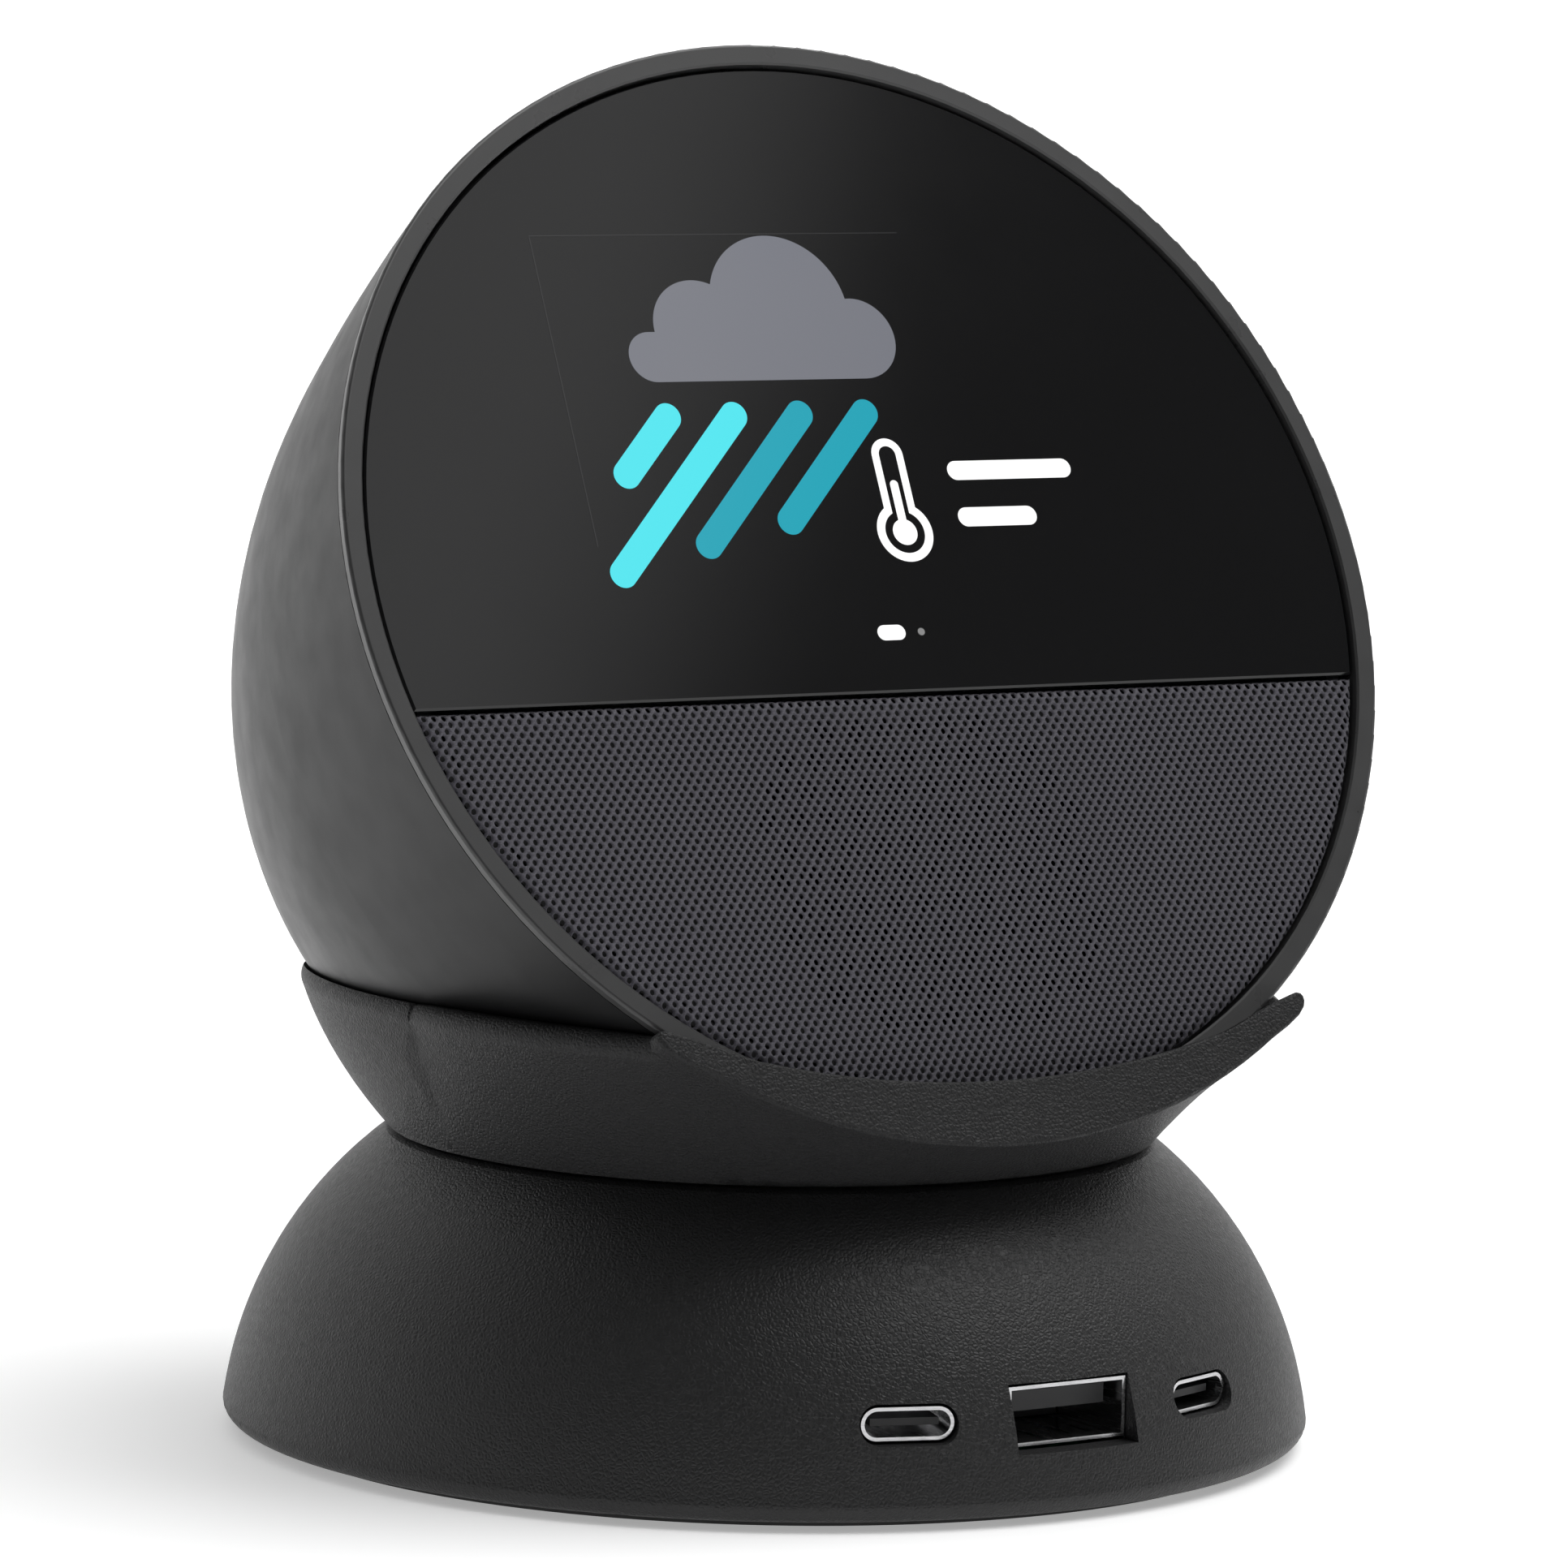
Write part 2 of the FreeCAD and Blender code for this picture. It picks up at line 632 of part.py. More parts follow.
band("button_strip", 6.9, 7.2, 4.5, 44.0)
band("button_bracket", 7.25, 8.5, 5.5, 50.0)
switches = []
for k, spin in enumerate(BUTTONS.values()):
    one = fuse("switch%d" % k, block("switch_body%d" % k, 3.4, 3.4, 1.3),
               rod("switch_top%d" % k, 0.9, 0.5, 0, 0, 1.25))
    one.Placement = on_side(spin, -6.88)
    switches.append(one)
group = doc.addObject("Part::Compound", "button_switches")
group.Links = switches
in_head(group)
mics = []
for k, spin in enumerate((-spread / 2, spread / 2)):
    one = block("mic%d" % k, 3.0, 2.0, 1.0)
    one.Placement = on_side(spin, -6.88).multiply(Placement(Vector(-1.5, -1.0, 0), Rotation()))
    mics.append(one)
group = doc.addObject("Part::Compound", "microphones")
group.Links = mics
in_head(group)


def crown(wide, rise):
    """Radius of a shallow ball-shaped top of that half width and rise."""
    return (wide * wide + rise * rise) / (rise * 2.0)


for name, spin in BUTTONS.items():
    r, up = D.button_radius, D.button_proud
    body = turned(name, [(0, -4.65), (1.4, -4.65), (1.4, -4.2), (5.5, -4.2), (5.5, -3.2), (r, -3.2),
                         (r, up - 0.54), (r - 0.4, up - 0.14, 0.4), (0, up, crown(r - 0.4, 0.14))])
    body.Placement = HEAD.multiply(on_side(spin))

# ---- head: power inlet, underside ------------------------------------------------------------------------
along_y = Rotation(Vector(1, 0, 0), -90)
jack = fuse("jack_solid", block("jack_body", 9.0, 10.5, 10.5, 0, JACK_Y + 5.25, JACK_Z - 5.25),
            rod("jack_nose", 5.0, 4.8, 0, JACK_Y + 10.0, JACK_Z, along_y))
jack = cut("jack_bored", jack, rod("jack_bore", 2.9, 10.0, 0, JACK_Y + 5.2, JACK_Z, along_y))
fuse("dc_jack", jack, rod("jack_pin", 0.85, 8.6, 0, JACK_Y + 5.0, JACK_Z, along_y))

in_head(common("head_base_plate", head_solid("plate_limit", -2.55),
               level(block("plate_slab", 140.0, 140.0, 2.2, 0, 10.0, D.underside_z + 0.05))))
in_head(common("head_foot_pad", head_solid("pad_limit", -8.0),
               level(block("pad_slab", 140.0, 140.0, 0.6, 0, 10.0, D.underside_z - 0.58))))

# ---- cup --------------------------------------------------------------------------------------------------
face_ring = bind(doc.addObject("Part::Circle", "lip_circle"), Radius=D.lip_radius)
face_ring.Placement = HEAD
neck_ring = move(bind(doc.addObject("Part::Circle", "neck_circle"), Radius=D.neck_radius),
                 0, 0, D.neck_z)


def loft(name, ruled, *sections):
    obj = doc.addObject("Part::Loft", name)
    obj.Sections = list(sections)
    obj.Solid = True
    obj.Ruled = ruled
    return obj


def oval(name, side, back, z, tilt=0.0):
    """Ellipse lying level (or slightly tipped), longer from front to back."""
    obj = doc.addObject("Part::Ellipse", name)
    bind(obj, MajorRadius=back, MinorRadius=side)
    lie = Rotation(Vector(1, 0, 0), -tilt).multiply(Rotation(Vector(0, 0, 1), 90))
    return move(obj, 0, 0, z, lie)


front_wall = loft("cup_front", True, neck_ring, face_ring)
quarter = Rotation(Vector(0, 0, 1), 90)
neck_back = move(bind(doc.addObject("Part::Circle", "neck_back_circle"), Radius=D.neck_radius),
                 0, 0, D.neck_z, quarter)
back_wall = loft("cup_back_full", False, neck_back,
                 oval("bowl_middle", D.bowl_mid_side, D.bowl_mid_back, D.bowl_mid_z),
                 oval("bowl_top", D.bowl_top_side, D.bowl_top_back, D.bowl_top_z),
                 oval("bowl_over", D.bowl_top_side + 0.7, D.bowl_top_back + 1.6, D.bowl_top_z + 4.0))
tip = Rotation(Vector(1, 0, 0), -VALUES["rim_tilt"])


def on_rim(edge):
    """Curved edges that lie in the tipped rim plane."""
    p = edge.valueAt((edge.FirstParameter + edge.LastParameter) / 2)
    level = VALUES["rim_z"] - p.y * math.tan(math.radians(VALUES["rim_tilt"]))
    return abs(p.z - level) < 0.02 and not isinstance(edge.Curve, Part.Line)


def half_cup(name, wall, side):
    """The part of a wall below the tipped rim plane and on one side of the join."""
    y = D.cup_join + side * 40.0
    over = block(name + "_over", 160.0, 160.0, 120.0)
    seat(over, Placement(Vector(0, 0, VALUES["rim_z"]), tip).multiply(
        Placement(Vector(-80, -80, 0), Rotation())))
    below = cut(name + "_below", wall, over)
    doc.recompute()
    rounded = doc.addObject("Part::Fillet", name + "_rounded")
    rounded.Base = below
    rounded.Edges = [(i, VALUES["rim_round"], VALUES["rim_round"])
                     for i, edge in enumerate(below.Shape.Edges, 1) if on_rim(edge)]
    return cut(name, rounded, block(name + "_other", 160.0, 80.0, 120.0, 0, y, 20.0))


bowl = fuse("cup_bowl", half_cup("cup_front_half", front_wall, 1),
            half_cup("cup_back_half", back_wall, -1))

outer, inner, half = D.lip_radius, D.lip_inner_radius, D.lip_half_wide
centre_y = D.lip_low_y + inner
tip_out = -root(outer * outer - half * half)
tip_in = centre_y - root(inner * inner - half * half)
lip = padded("lip", [(-half, tip_out), (half, tip_out, outer), (half, tip_in), (-half, tip_in, -inner)],
             D.lip_front)
soften(lip, "Fillet", D.lip_edge, lambda p: p.z > VALUES["lip_front"] - 0.01)
in_head(lip)
cup_solid = fuse("cup_solid", bowl, lip)
hollow = head_solid("cup_hollow", D.cup_gap, D.cup_gap)
in_head(hollow)
hollow = common("cup_space", hollow, block("above_floor", 140.0, 140.0, 60.0, 0, 10.0, D.cup_floor))
cut("cradle_cup", cup_solid, hollow,
    rod("pad_pocket", 22.2, 3.0, 0, 4.0, D.cup_floor - 0.85),
    rod("spindle_seat", D.spindle_radius, 2.0, 0, 0, D.neck_z - 0.5),
    rod("spindle_way", D.spindle_bore, 5.0, 0, 0, D.neck_z - 0.5))
rod("cradle_pad", 22.0, 0.8, 0, 4.0, D.cup_floor - 0.83)

s = D.spindle_radius
turned("swivel_spindle", [(D.spindle_bore, D.spindle_low), (s - 0.4, D.spindle_low),
                          (s, D.spindle_low + 0.4), (s, 25.6), (s - 1.0, 25.6), (s - 1.0, 26.5),
                          (s, 26.5), (s, D.neck_z + 1.45), (D.spindle_bore, D.neck_z + 1.45)])
clip = turned("clip_ring", [(s - 0.95, 25.65), (s + 3.4, 25.65), (s + 3.4, 26.45), (s - 0.95, 26.45)])
cut("retaining_clip", clip, block("clip_gap", 7.0, 12.0, 3.0, 0, 13.0, 25.0))

# ---- dome base -----------------------------------------------------------------------------------


def dome_rho(radius, z):
    """Radius of the dome's arc at a height."""
    rise = z - D.dome_arc_z
    return D.dome_arc_rho + root(radius * radius - rise * rise)


R = D.dome_arc_radius
Ri = R - D.dome_wall
bore = D.spindle_radius + D.running_fit
dome = turned("dome_skin", [
    (bore, D.roof_z), (dome_rho(Ri, D.roof_z), D.roof_z),
    (dome_rho(Ri, D.plate_top + 0.3), D.plate_top + 0.3, -Ri),
    (D.dome_opening, D.plate_top + 0.3), (D.dome_opening, D.dome_low),
    (dome_rho(R, D.dome_low + D.dome_edge) - D.dome_edge, D.dome_low),
    (dome_rho(R, D.dome_low + D.dome_edge), D.dome_low + D.dome_edge, D.dome_edge),
    (dome_rho(R, D.dome_top - 0.3), D.dome_top - 0.3, R),
    (dome_rho(R, D.dome_top) - 0.3, D.dome_top), (34.1, D.dome_top), (34.1, D.dome_top - 0.75),
    (29.9, D.dome_top - 0.75), (29.9, D.dome_top), (bore, D.dome_top)])
BOSSES = ((40.5, 19.0), (-40.5, 19.0), (40.5, -19.0), (-40.5, -19.0))
bosses = [rod("boss%d" % k, 2.8, 14.0, x, y, D.plate_top + 0.1) for k, (x, y) in enumerate(BOSSES)]
boss_holes = [rod("boss_hole%d" % k, 0.95, 9.0, x, y, 2.0) for k, (x, y) in enumerate(BOSSES)]

turn = VALUES["port_turn"]
spread_p = VALUES["port_spread"]
PORTS = {"usb_c_left": turn - spread_p, "usb_c_right": turn + spread_p}


def at_azimuth(obj, azimuth, local=None):
    """Turn a socket piece, drawn facing -Y, to its place round the dome."""
    round_axis = Placement(Vector(0, 0, 0), Rotation(Vector(0, 0, 1), azimuth))
    return seat(obj, round_axis.multiply(local) if local else round_axis)


gap = D.port_gap
a_slot = block("usb_a_slot", D.usb_a_wide + gap, 20.0, D.usb_a_high + gap * 2, 0, -52.0,
               D.port_z - D.usb_a_high * 0.5 - gap)
slots = []
for node, azimuth in PORTS.items():
    slots.append(at_azimuth(slot_bar(node + "_slot", D.usb_c_wide + gap * 2, D.usb_c_high + gap * 2,
                                     20.0, -62.0, D.port_z), azimuth))
usb_a_frame = Placement(Vector(-(VALUES["usb_a_wide"] + VALUES["port_gap"]) / 2, -62.0,
                               VALUES["port_z"] - VALUES["usb_a_high"] / 2 - VALUES["port_gap"]),
                        Rotation())
slots.append(at_azimuth(a_slot, turn, usb_a_frame))

out_hole = rod("outlet_hole", 5.3, 20.0, 0, 42.0, 11.0, along_y)
REAR_Z = 12.0
rear_rho = num(dome_rho(R, REAR_Z))
rear_tilt = math.degrees(math.asin((REAR_Z - VALUES["dome_arc_z"]) / VALUES["dome_arc_radius"]))


def on_dome(azimuth, lift=0.0, across=0.0):
    """Frame on the dome's skin at the height of the rear controls: z outwards."""
    outward = Placement(Vector(0, -rear_rho, REAR_Z), Rotation(Vector(1, 0, 0), 90 - rear_tilt))
    round_axis = Placement(Vector(0, 0, 0), Rotation(Vector(0, 0, 1), azimuth))
    return round_axis.multiply(outward).multiply(Placement(Vector(across, 0, lift), Rotation()))


power_hole = rod("power_hole", 4.4, 12.0)
power_hole.Placement = on_dome(205.0, -8.0)
led_holes = []
for k in range(4):
    hole = rod("led_hole%d" % k, 0.9, 8.0)
    hole.Placement = on_dome(155.0, -5.0, (k - 1.5) * 3.6)
    led_holes.append(hole)
body = fuse("dome_solid", dome, *bosses)
cut("dome_housing", body, *(boss_holes + slots + [out_hole, power_hole] + led_holes))

turned("thrust_ring", [(30.0, 29.2), (34.0, 29.2), (34.0, 30.2), (33.7, 30.25), (30.3, 30.25),
                       (30.0, 30.2)])
turned("wave_washer", [(s + 0.4, 26.6), (s + 4.4, 26.6), (s + 4.4, 27.4), (s + 0.4, 27.4)])

plate = turned("plate_disc", [(0, D.dome_low), (D.dome_opening - 0.2, D.dome_low),
                              (D.dome_opening - 0.2, D.plate_top), (0, D.plate_top)])
cut("base_plate", plate,
    *([rod("plate_hole%d" % k, 1.3, 5.0, x, y, 0.0) for k, (x, y) in enumerate(BOSSES)]
      + [rod("plate_sink%d" % k, 2.5, 1.4, x, y, 0.7) for k, (x, y) in enumerate(BOSSES)]))
turned("foot_pad", [(0, 0), (49.8, 0), (50.2, 0.4), (50.2, D.dome_low - 0.02), (0, D.dome_low - 0.02)])
screws("base_screws", BOSSES, 2.2, 1.1, 0.9, 6.5, 0.95)

# ---- battery and boards ----------------------------------------------------------------------------
along_x = Rotation(Vector(0, 1, 0), 90)
cells = []
for k in range(2):
    can = rod("cell_can%d" % k, D.cell_radius, D.cell_long, -D.cell_long * 0.5,
              D.cell_pitch * k, D.cell_z, along_x)
    knob = rod("cell_knob%d" % k, 2.8, 1.2, D.cell_long * 0.5 - 0.05, D.cell_pitch * k, D.cell_z,
               along_x)
    cells.append(fuse("cell%d" % k, can, knob))
group = doc.addObject("Part::Compound", "battery_cells")
group.Links = cells
cut("cell_holder",
    block("holder_block", D.cell_long + 6.0, D.cell_pitch * 2 + 1.6, 7.0, 0, D.cell_pitch * 0.5,
          D.plate_top + 0.1),
    *[rod("holder_way%d" % k, D.cell_radius + 0.15, D.cell_long + 3.0,
          -(D.cell_long * 0.5 + 0.4), D.cell_pitch * k, D.cell_z, along_x) for k in range(2)])

common("power_board", block("power_board_blank", 56.0, 34.0, 1.5, 0, -30.0, D.board_top - 1.5),
       rod("power_board_limit", 46.5, 1.5, 0, 0, D.board_top - 1.5))

m = D.metal
mouth = D.usb_a_mouth
w, h = D.usb_a_wide, D.usb_a_high
slits = [block("usb_a_slit%d" % k, 0.5, 4.5, 3.0, x, y - num(mouth) + 3.5,
               D.port_z - h * 0.5 - 1.0)
         for k, (x, y) in enumerate(((-4.2, 0.6), (-1.8, 0.6), (1.8, 0.6), (4.2, 0.6)))]
at_azimuth(cut("usb_a_shell",
               block("usb_a_can", w, D.usb_a_long, h, 0, D.usb_a_long * 0.5 - mouth,
                     D.port_z - h * 0.5),
               block("usb_a_inside", w - m * 2, D.usb_a_long - m, h - m * 2, 0,
                     D.usb_a_long * 0.5 - mouth - m * 0.5, D.port_z - h * 0.5 + m), *slits), turn)
at_azimuth(fuse("usb_a_tongue",
                block("usb_a_blade", w - 2.4, D.usb_a_long - 2.5, 1.9, 0,
                      D.usb_a_long * 0.5 + 0.6 - mouth, D.port_z + h * 0.5 - 2.75),
                block("usb_a_root", w - 1.0, 3.0, h - 1.0, 0, D.usb_a_long - 2.2 - mouth,
                      D.port_z - h * 0.5 + 0.5)), turn)
for node, azimuth in PORTS.items():
    mouth_c, long_c = D.usb_c_mouth, D.usb_c_long
    can = slot_bar(node + "_can", D.usb_c_wide, D.usb_c_high, long_c, -mouth_c, D.port_z)
    inside = slot_bar(node + "_inside", D.usb_c_wide - m * 2, D.usb_c_high - m * 2, long_c - m,
                      -mouth_c, D.port_z)
    at_azimuth(cut(node + "_shell", can, inside), azimuth)
    local = Placement(Vector(-3.35, -num(mouth_c) + 1.2, VALUES["port_z"] - 0.35), Rotation())
    at_azimuth(block(node + "_tongue", 6.7, long_c - 1.6, 0.7), azimuth, local)
spacers = []
for node, azimuth in PORTS.items():
    rise = D.port_z - D.usb_c_high * 0.5 - D.board_top
    local = Placement(Vector(-3.5, -46.3, VALUES["board_top"] + 0.01), Rotation())
    spacers.append(at_azimuth(block(node + "_leg", 7.0, 3.0, rise - 0.02), azimuth, local))
group = doc.addObject("Part::Compound", "port_spacers")
group.Links = spacers

out_body = fuse("outlet_solid", block("outlet_block", 9.0, 7.5, 10.0, 0, 42.25, 6.0),
                rod("outlet_nose", 4.9, 5.5, 0, 45.5, 11.0, along_y))
out_body = cut("outlet_bored", out_body, rod("outlet_bore", 2.9, 9.0, 0, 43.0, 11.0, along_y))
fuse("dc_outlet", out_body, rod("outlet_pin", 0.85, 7.0, 0, 42.8, 11.0, along_y))

leds = []
for k in range(4):
    light = rod("led%d" % k, 0.8, 4.2)
    light.Placement = on_dome(155.0, -4.0, (k - 1.5) * 3.6)
    leds.append(light)
group = doc.addObject("Part::Compound", "charge_leds")
group.Links = leds
power = turned("power_button", [(0, -4.4), (5.2, -4.4), (5.2, -3.4), (4.0, -3.4), (4.0, 0.1),
                                (3.6, 0.5, 0.4), (0, 0.62, crown(3.6, 0.12))])
power.Placement = on_dome(205.0)

lead_pair = doc.addObject("Part::Compound", "speaker_leads")
lead_pair.Links = leads
in_head(lead_pair)

NODES = """rear_shell bezel_ring cover_glass display_panel backlight_tray front_chassis grille_cloth
grille_frame speaker_basket speaker_magnet voice_coil speaker_cone dust_cap speaker_surround
speaker_enclosure speaker_leads main_board shield_cans heat_spreader board_screws button_strip
button_bracket button_switches microphones volume_up_button mute_button volume_down_button dc_jack
head_base_plate head_foot_pad cradle_cup cradle_pad swivel_spindle retaining_clip dome_housing
thrust_ring wave_washer base_plate foot_pad base_screws battery_cells cell_holder power_board
usb_a_shell usb_a_tongue usb_c_left_shell usb_c_left_tongue usb_c_right_shell usb_c_right_tongue
port_spacers dc_outlet charge_leds power_button""".split()

doc.recompute()
broken = [o.Name for o in doc.Objects if "Invalid" in o.State or "Error" in o.State]
if broken:
    raise RuntimeError("objects with errors: %s" % broken)
os.makedirs("parts", exist_ok=True)
for node in NODES:
    obj = doc.getObject(node)
    obj.Label = node
    shape = obj.Shape
    if shape.isNull() or not shape.isValid():
        raise RuntimeError("bad shape: " + node)
    box = shape.BoundBox
    print("%-20s solids %2d volume %10.1f  x %7.2f %7.2f  y %7.2f %7.2f  z %7.2f %7.2f" % (
        node, len(shape.Solids), shape.Volume, box.XMin, box.XMax, box.YMin, box.YMax,
        box.ZMin, box.ZMax))
    shape.exportStep("parts/%s.step" % node)
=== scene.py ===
# %% [markdown]
# # A round smart display on its battery stand
# The solid model comes first, as a fixed frame that never moves. This script gives every piece its
# finish, and adds what the solid model leaves plain: the knitted speaker cloth, the picture on the
# screen, the raised marks on the keys, and a small studio to look at it all.
# Everything is in metres, and the face of the display looks towards -Y.

# %% Load the frame
import math

import bmesh
import bpy
from mathutils import Matrix, Vector


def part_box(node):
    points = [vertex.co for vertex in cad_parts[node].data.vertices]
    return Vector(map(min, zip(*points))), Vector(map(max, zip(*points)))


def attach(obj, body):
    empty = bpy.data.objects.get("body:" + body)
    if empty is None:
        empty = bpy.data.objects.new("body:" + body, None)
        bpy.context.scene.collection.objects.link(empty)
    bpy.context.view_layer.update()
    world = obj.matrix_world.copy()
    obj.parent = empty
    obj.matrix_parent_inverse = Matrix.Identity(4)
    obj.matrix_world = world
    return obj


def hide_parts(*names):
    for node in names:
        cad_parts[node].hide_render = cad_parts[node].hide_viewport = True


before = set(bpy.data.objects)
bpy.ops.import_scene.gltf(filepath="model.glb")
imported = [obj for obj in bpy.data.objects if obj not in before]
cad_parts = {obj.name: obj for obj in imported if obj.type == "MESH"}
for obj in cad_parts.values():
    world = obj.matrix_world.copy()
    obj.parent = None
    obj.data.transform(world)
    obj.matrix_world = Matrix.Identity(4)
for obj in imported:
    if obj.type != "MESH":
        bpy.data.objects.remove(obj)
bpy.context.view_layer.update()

# %% [markdown]
# ## Camera
# A long lens from far away keeps the round face round. The camera looks down a little from the
# object's left, and it leans by about one degree, as a hand-held one would. Its three axes are
# worked out from the backward direction, so the lean is one small rotation of the other two.

# %% Camera
EYE = Vector((-0.44273, -0.75025, 0.16531))
BACKWARD = Vector((-0.50536, -0.85518, 0.11522)).normalized()
LEAN_OF_CAMERA = math.radians(1.3054)
LENS, SENSOR = 204.336, 36.0


def make_camera():
    level = Vector((0, 0, 1)).cross(BACKWARD).normalized()
    upright = BACKWARD.cross(level)
    c, s = math.cos(LEAN_OF_CAMERA), math.sin(LEAN_OF_CAMERA)
    right, up = level * c + upright * s, upright * c - level * s
    data = bpy.data.cameras.new("camera")
    data.lens, data.sensor_width = LENS, SENSOR
    data.clip_start, data.clip_end = 0.05, 100.0
    camera = bpy.data.objects.new("camera", data)
    turn = Matrix((right, up, BACKWARD)).transposed().to_4x4()
    camera.matrix_world = Matrix.Translation(EYE) @ turn
    bpy.context.scene.collection.objects.link(camera)
    bpy.context.scene.camera = camera


make_camera()
print("camera stands %.3f m from the middle" % (EYE - Vector((0, 0, 0.064))).length)

# %% [markdown]
# ## The head's own axes
# The head leans back by 27.29 degrees, so it is easier to draw on its face in face coordinates:
# u across, v up the face and w out of the face, in millimetres from the middle of the face.
# One function turns them into the common frame.

# %% Face coordinates
MM = 0.001
LEAN = math.radians(27.29)
FACE_MIDDLE = Vector((0, -17.16, 86.45)) * MM
ACROSS = Vector((1, 0, 0))
UP_FACE = Vector((0, math.sin(LEAN), math.cos(LEAN)))
OUT_OF_FACE = Vector((0, -math.cos(LEAN), math.sin(LEAN)))
FACE = Matrix((ACROSS, UP_FACE, OUT_OF_FACE)).transposed()


def on_face(u, v, w=0.0):
    return FACE_MIDDLE + FACE @ (Vector((u, v, w)) * MM)


glass_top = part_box("cover_glass")[1]
print("glass reaches v = %.2f mm" % ((glass_top.z - FACE_MIDDLE.z) / UP_FACE.z / MM))

# %% [markdown]
# ## Node helpers for finishes
# Every finish is a small node tree round one Principled shader. Three habits repeat: a slow noise
# that makes the colour a little uneven, a second one that makes the gloss uneven, and a fine
# pattern that goes to a Bump node. The helpers keep each recipe down to a few lines. Patterns read
# Object coordinates, which are metres here, so a scale of 1000 means one cell per millimetre.

# %% Node helpers
class Recipe:
    """A material in the making: tree, shader and coordinates."""

    def __init__(self, name, colour, rough, metal=0.0, **sockets):
        self.mat = bpy.data.materials.new(name)
        self.mat.use_nodes = True
        self.tree = self.mat.node_tree
        self.tree.nodes.clear()
        out = self.tree.nodes.new("ShaderNodeOutputMaterial")
        self.shader = self.tree.nodes.new("ShaderNodeBsdfPrincipled")
        self.tree.links.new(self.shader.outputs["BSDF"], out.inputs["Surface"])
        self.set("Base Color", (*colour, 1.0))
        self.set("Roughness", rough)
        self.set("Metallic", metal)
        for socket, value in sockets.items():
            self.set(socket.replace("_", " "), value)
        self.colour, self.rough = colour, rough
        coord = self.tree.nodes.new("ShaderNodeTexCoord")
        self.place = coord.outputs["Object"]
        self.normal = None

    def set(self, socket, value):
        self.shader.inputs[socket].default_value = value

    def node(self, kind, **values):
        made = self.tree.nodes.new(kind)
        for key, value in values.items():
            if isinstance(value, bpy.types.NodeSocket):
                self.tree.links.new(value, made.inputs[key.replace("_", " ")])
            elif key.replace("_", " ") in made.inputs:
                made.inputs[key.replace("_", " ")].default_value = value
            else:
                setattr(made, key, value)
        return made

    def join(self, value, socket):
        self.tree.links.new(value, self.shader.inputs[socket])

    def stretched(self, scale, turn=(0, 0, 0), shift=(0, 0, 0)):
        """Object coordinates, turned and stretched for a pattern with a direction."""
        return self.node("ShaderNodeMapping", Vector=self.place, Scale=scale, Rotation=turn,
                         Location=shift).outputs["Vector"]

    def noise(self, scale, detail=3.0, place=None, rough=0.5):
        made = self.node("ShaderNodeTexNoise", Vector=place or self.place, Scale=scale,
                         Detail=detail, Roughness=rough)
        return made.outputs["Fac"]

    def cells(self, scale, feature="F1", place=None, jitter=1.0):
        made = self.node("ShaderNodeTexVoronoi", Vector=place or self.place, feature=feature,
                         Scale=scale, Randomness=jitter)
        return made.outputs["Distance"]

    def spread(self, value, low, high, start=0.3, stop=0.7):
        """Spread a pattern's values over a range."""
        made = self.node("ShaderNodeMapRange", Value=value, From_Min=start, From_Max=stop,
                         To_Min=low, To_Max=high)
        return made.outputs["Result"]

    def math(self, operation, a, b=None):
        made = self.node("ShaderNodeMath", operation=operation)
        for socket, value in zip(made.inputs, (a, b)):
            if isinstance(value, bpy.types.NodeSocket):
                self.tree.links.new(value, socket)
            elif value is not None:
                socket.default_value = value
        return made.outputs["Value"]

    def mottle(self, value, amount, tint=None):
        """Blend the base colour with a second one, lighter by amount or a tint."""
        other = tint or tuple(min(1.0, c * (1.0 + amount)) for c in self.colour)
        mix = self.node("ShaderNodeMix", data_type="RGBA")
        self.tree.links.new(value, mix.inputs["Factor"])
        colours = [s for s in mix.inputs if s.type == "RGBA"]
        colours[0].default_value = (*self.colour, 1.0)
        colours[1].default_value = (*other, 1.0)
        result = [s for s in mix.outputs if s.type == "RGBA"][0]
        self.join(result, "Base Color")

    def gloss(self, value, spread):
        """Let the roughness wander by spread either way."""
        self.join(self.spread(value, self.rough - spread, self.rough + spread), "Roughness")

    def bump(self, value, depth, strength=1.0):
        """Raise the surface by depth metres where the pattern is 1; bumps stack."""
        made = self.node("ShaderNodeBump", Height=value, Strength=strength, Distance=depth)
        if self.normal is not None:
            self.tree.links.new(self.normal, made.inputs["Normal"])
        self.normal = made.outputs["Normal"]
        self.join(self.normal, "Normal")


finishes = {}
print("recipes start with a Principled shader and Object coordinates")

# %% [markdown]
# ## Moulded plastics
# The head's shell is a smooth satin moulding: what looks like one flat colour has a very faint
# texture from the spark-eroded mould, under a tenth of a millimetre across. The bezel ring is the
# same plastic in a lighter grey. The stand is a tougher plastic with a leather grain. Real leather
# grain is small pebbles with creases between them, and a Voronoi pattern's distance to the nearest
# cell edge gives exactly that. A slower noise bends the cells, so that they don't look like tiles.
# The cup gets a copy of the grained plastic with a lighter base colour. That lighter colour is
# painted light, standing in for the key light on its lip.

# %% Satin and grained plastic
def satin_plastic(name, colour, rough, level):
    r = Recipe(name, colour, rough, Specular_IOR_Level=level)
    r.mottle(r.noise(60.0, 2.0), 0.10)
    r.gloss(r.noise(220.0, 4.0), 0.035)
    r.bump(r.noise(9000.0, 2.0), 0.000006, 0.5)
    finishes[name] = r.mat


GRAIN_BEND = 0.00035
CREASE_WIDTH = 0.32


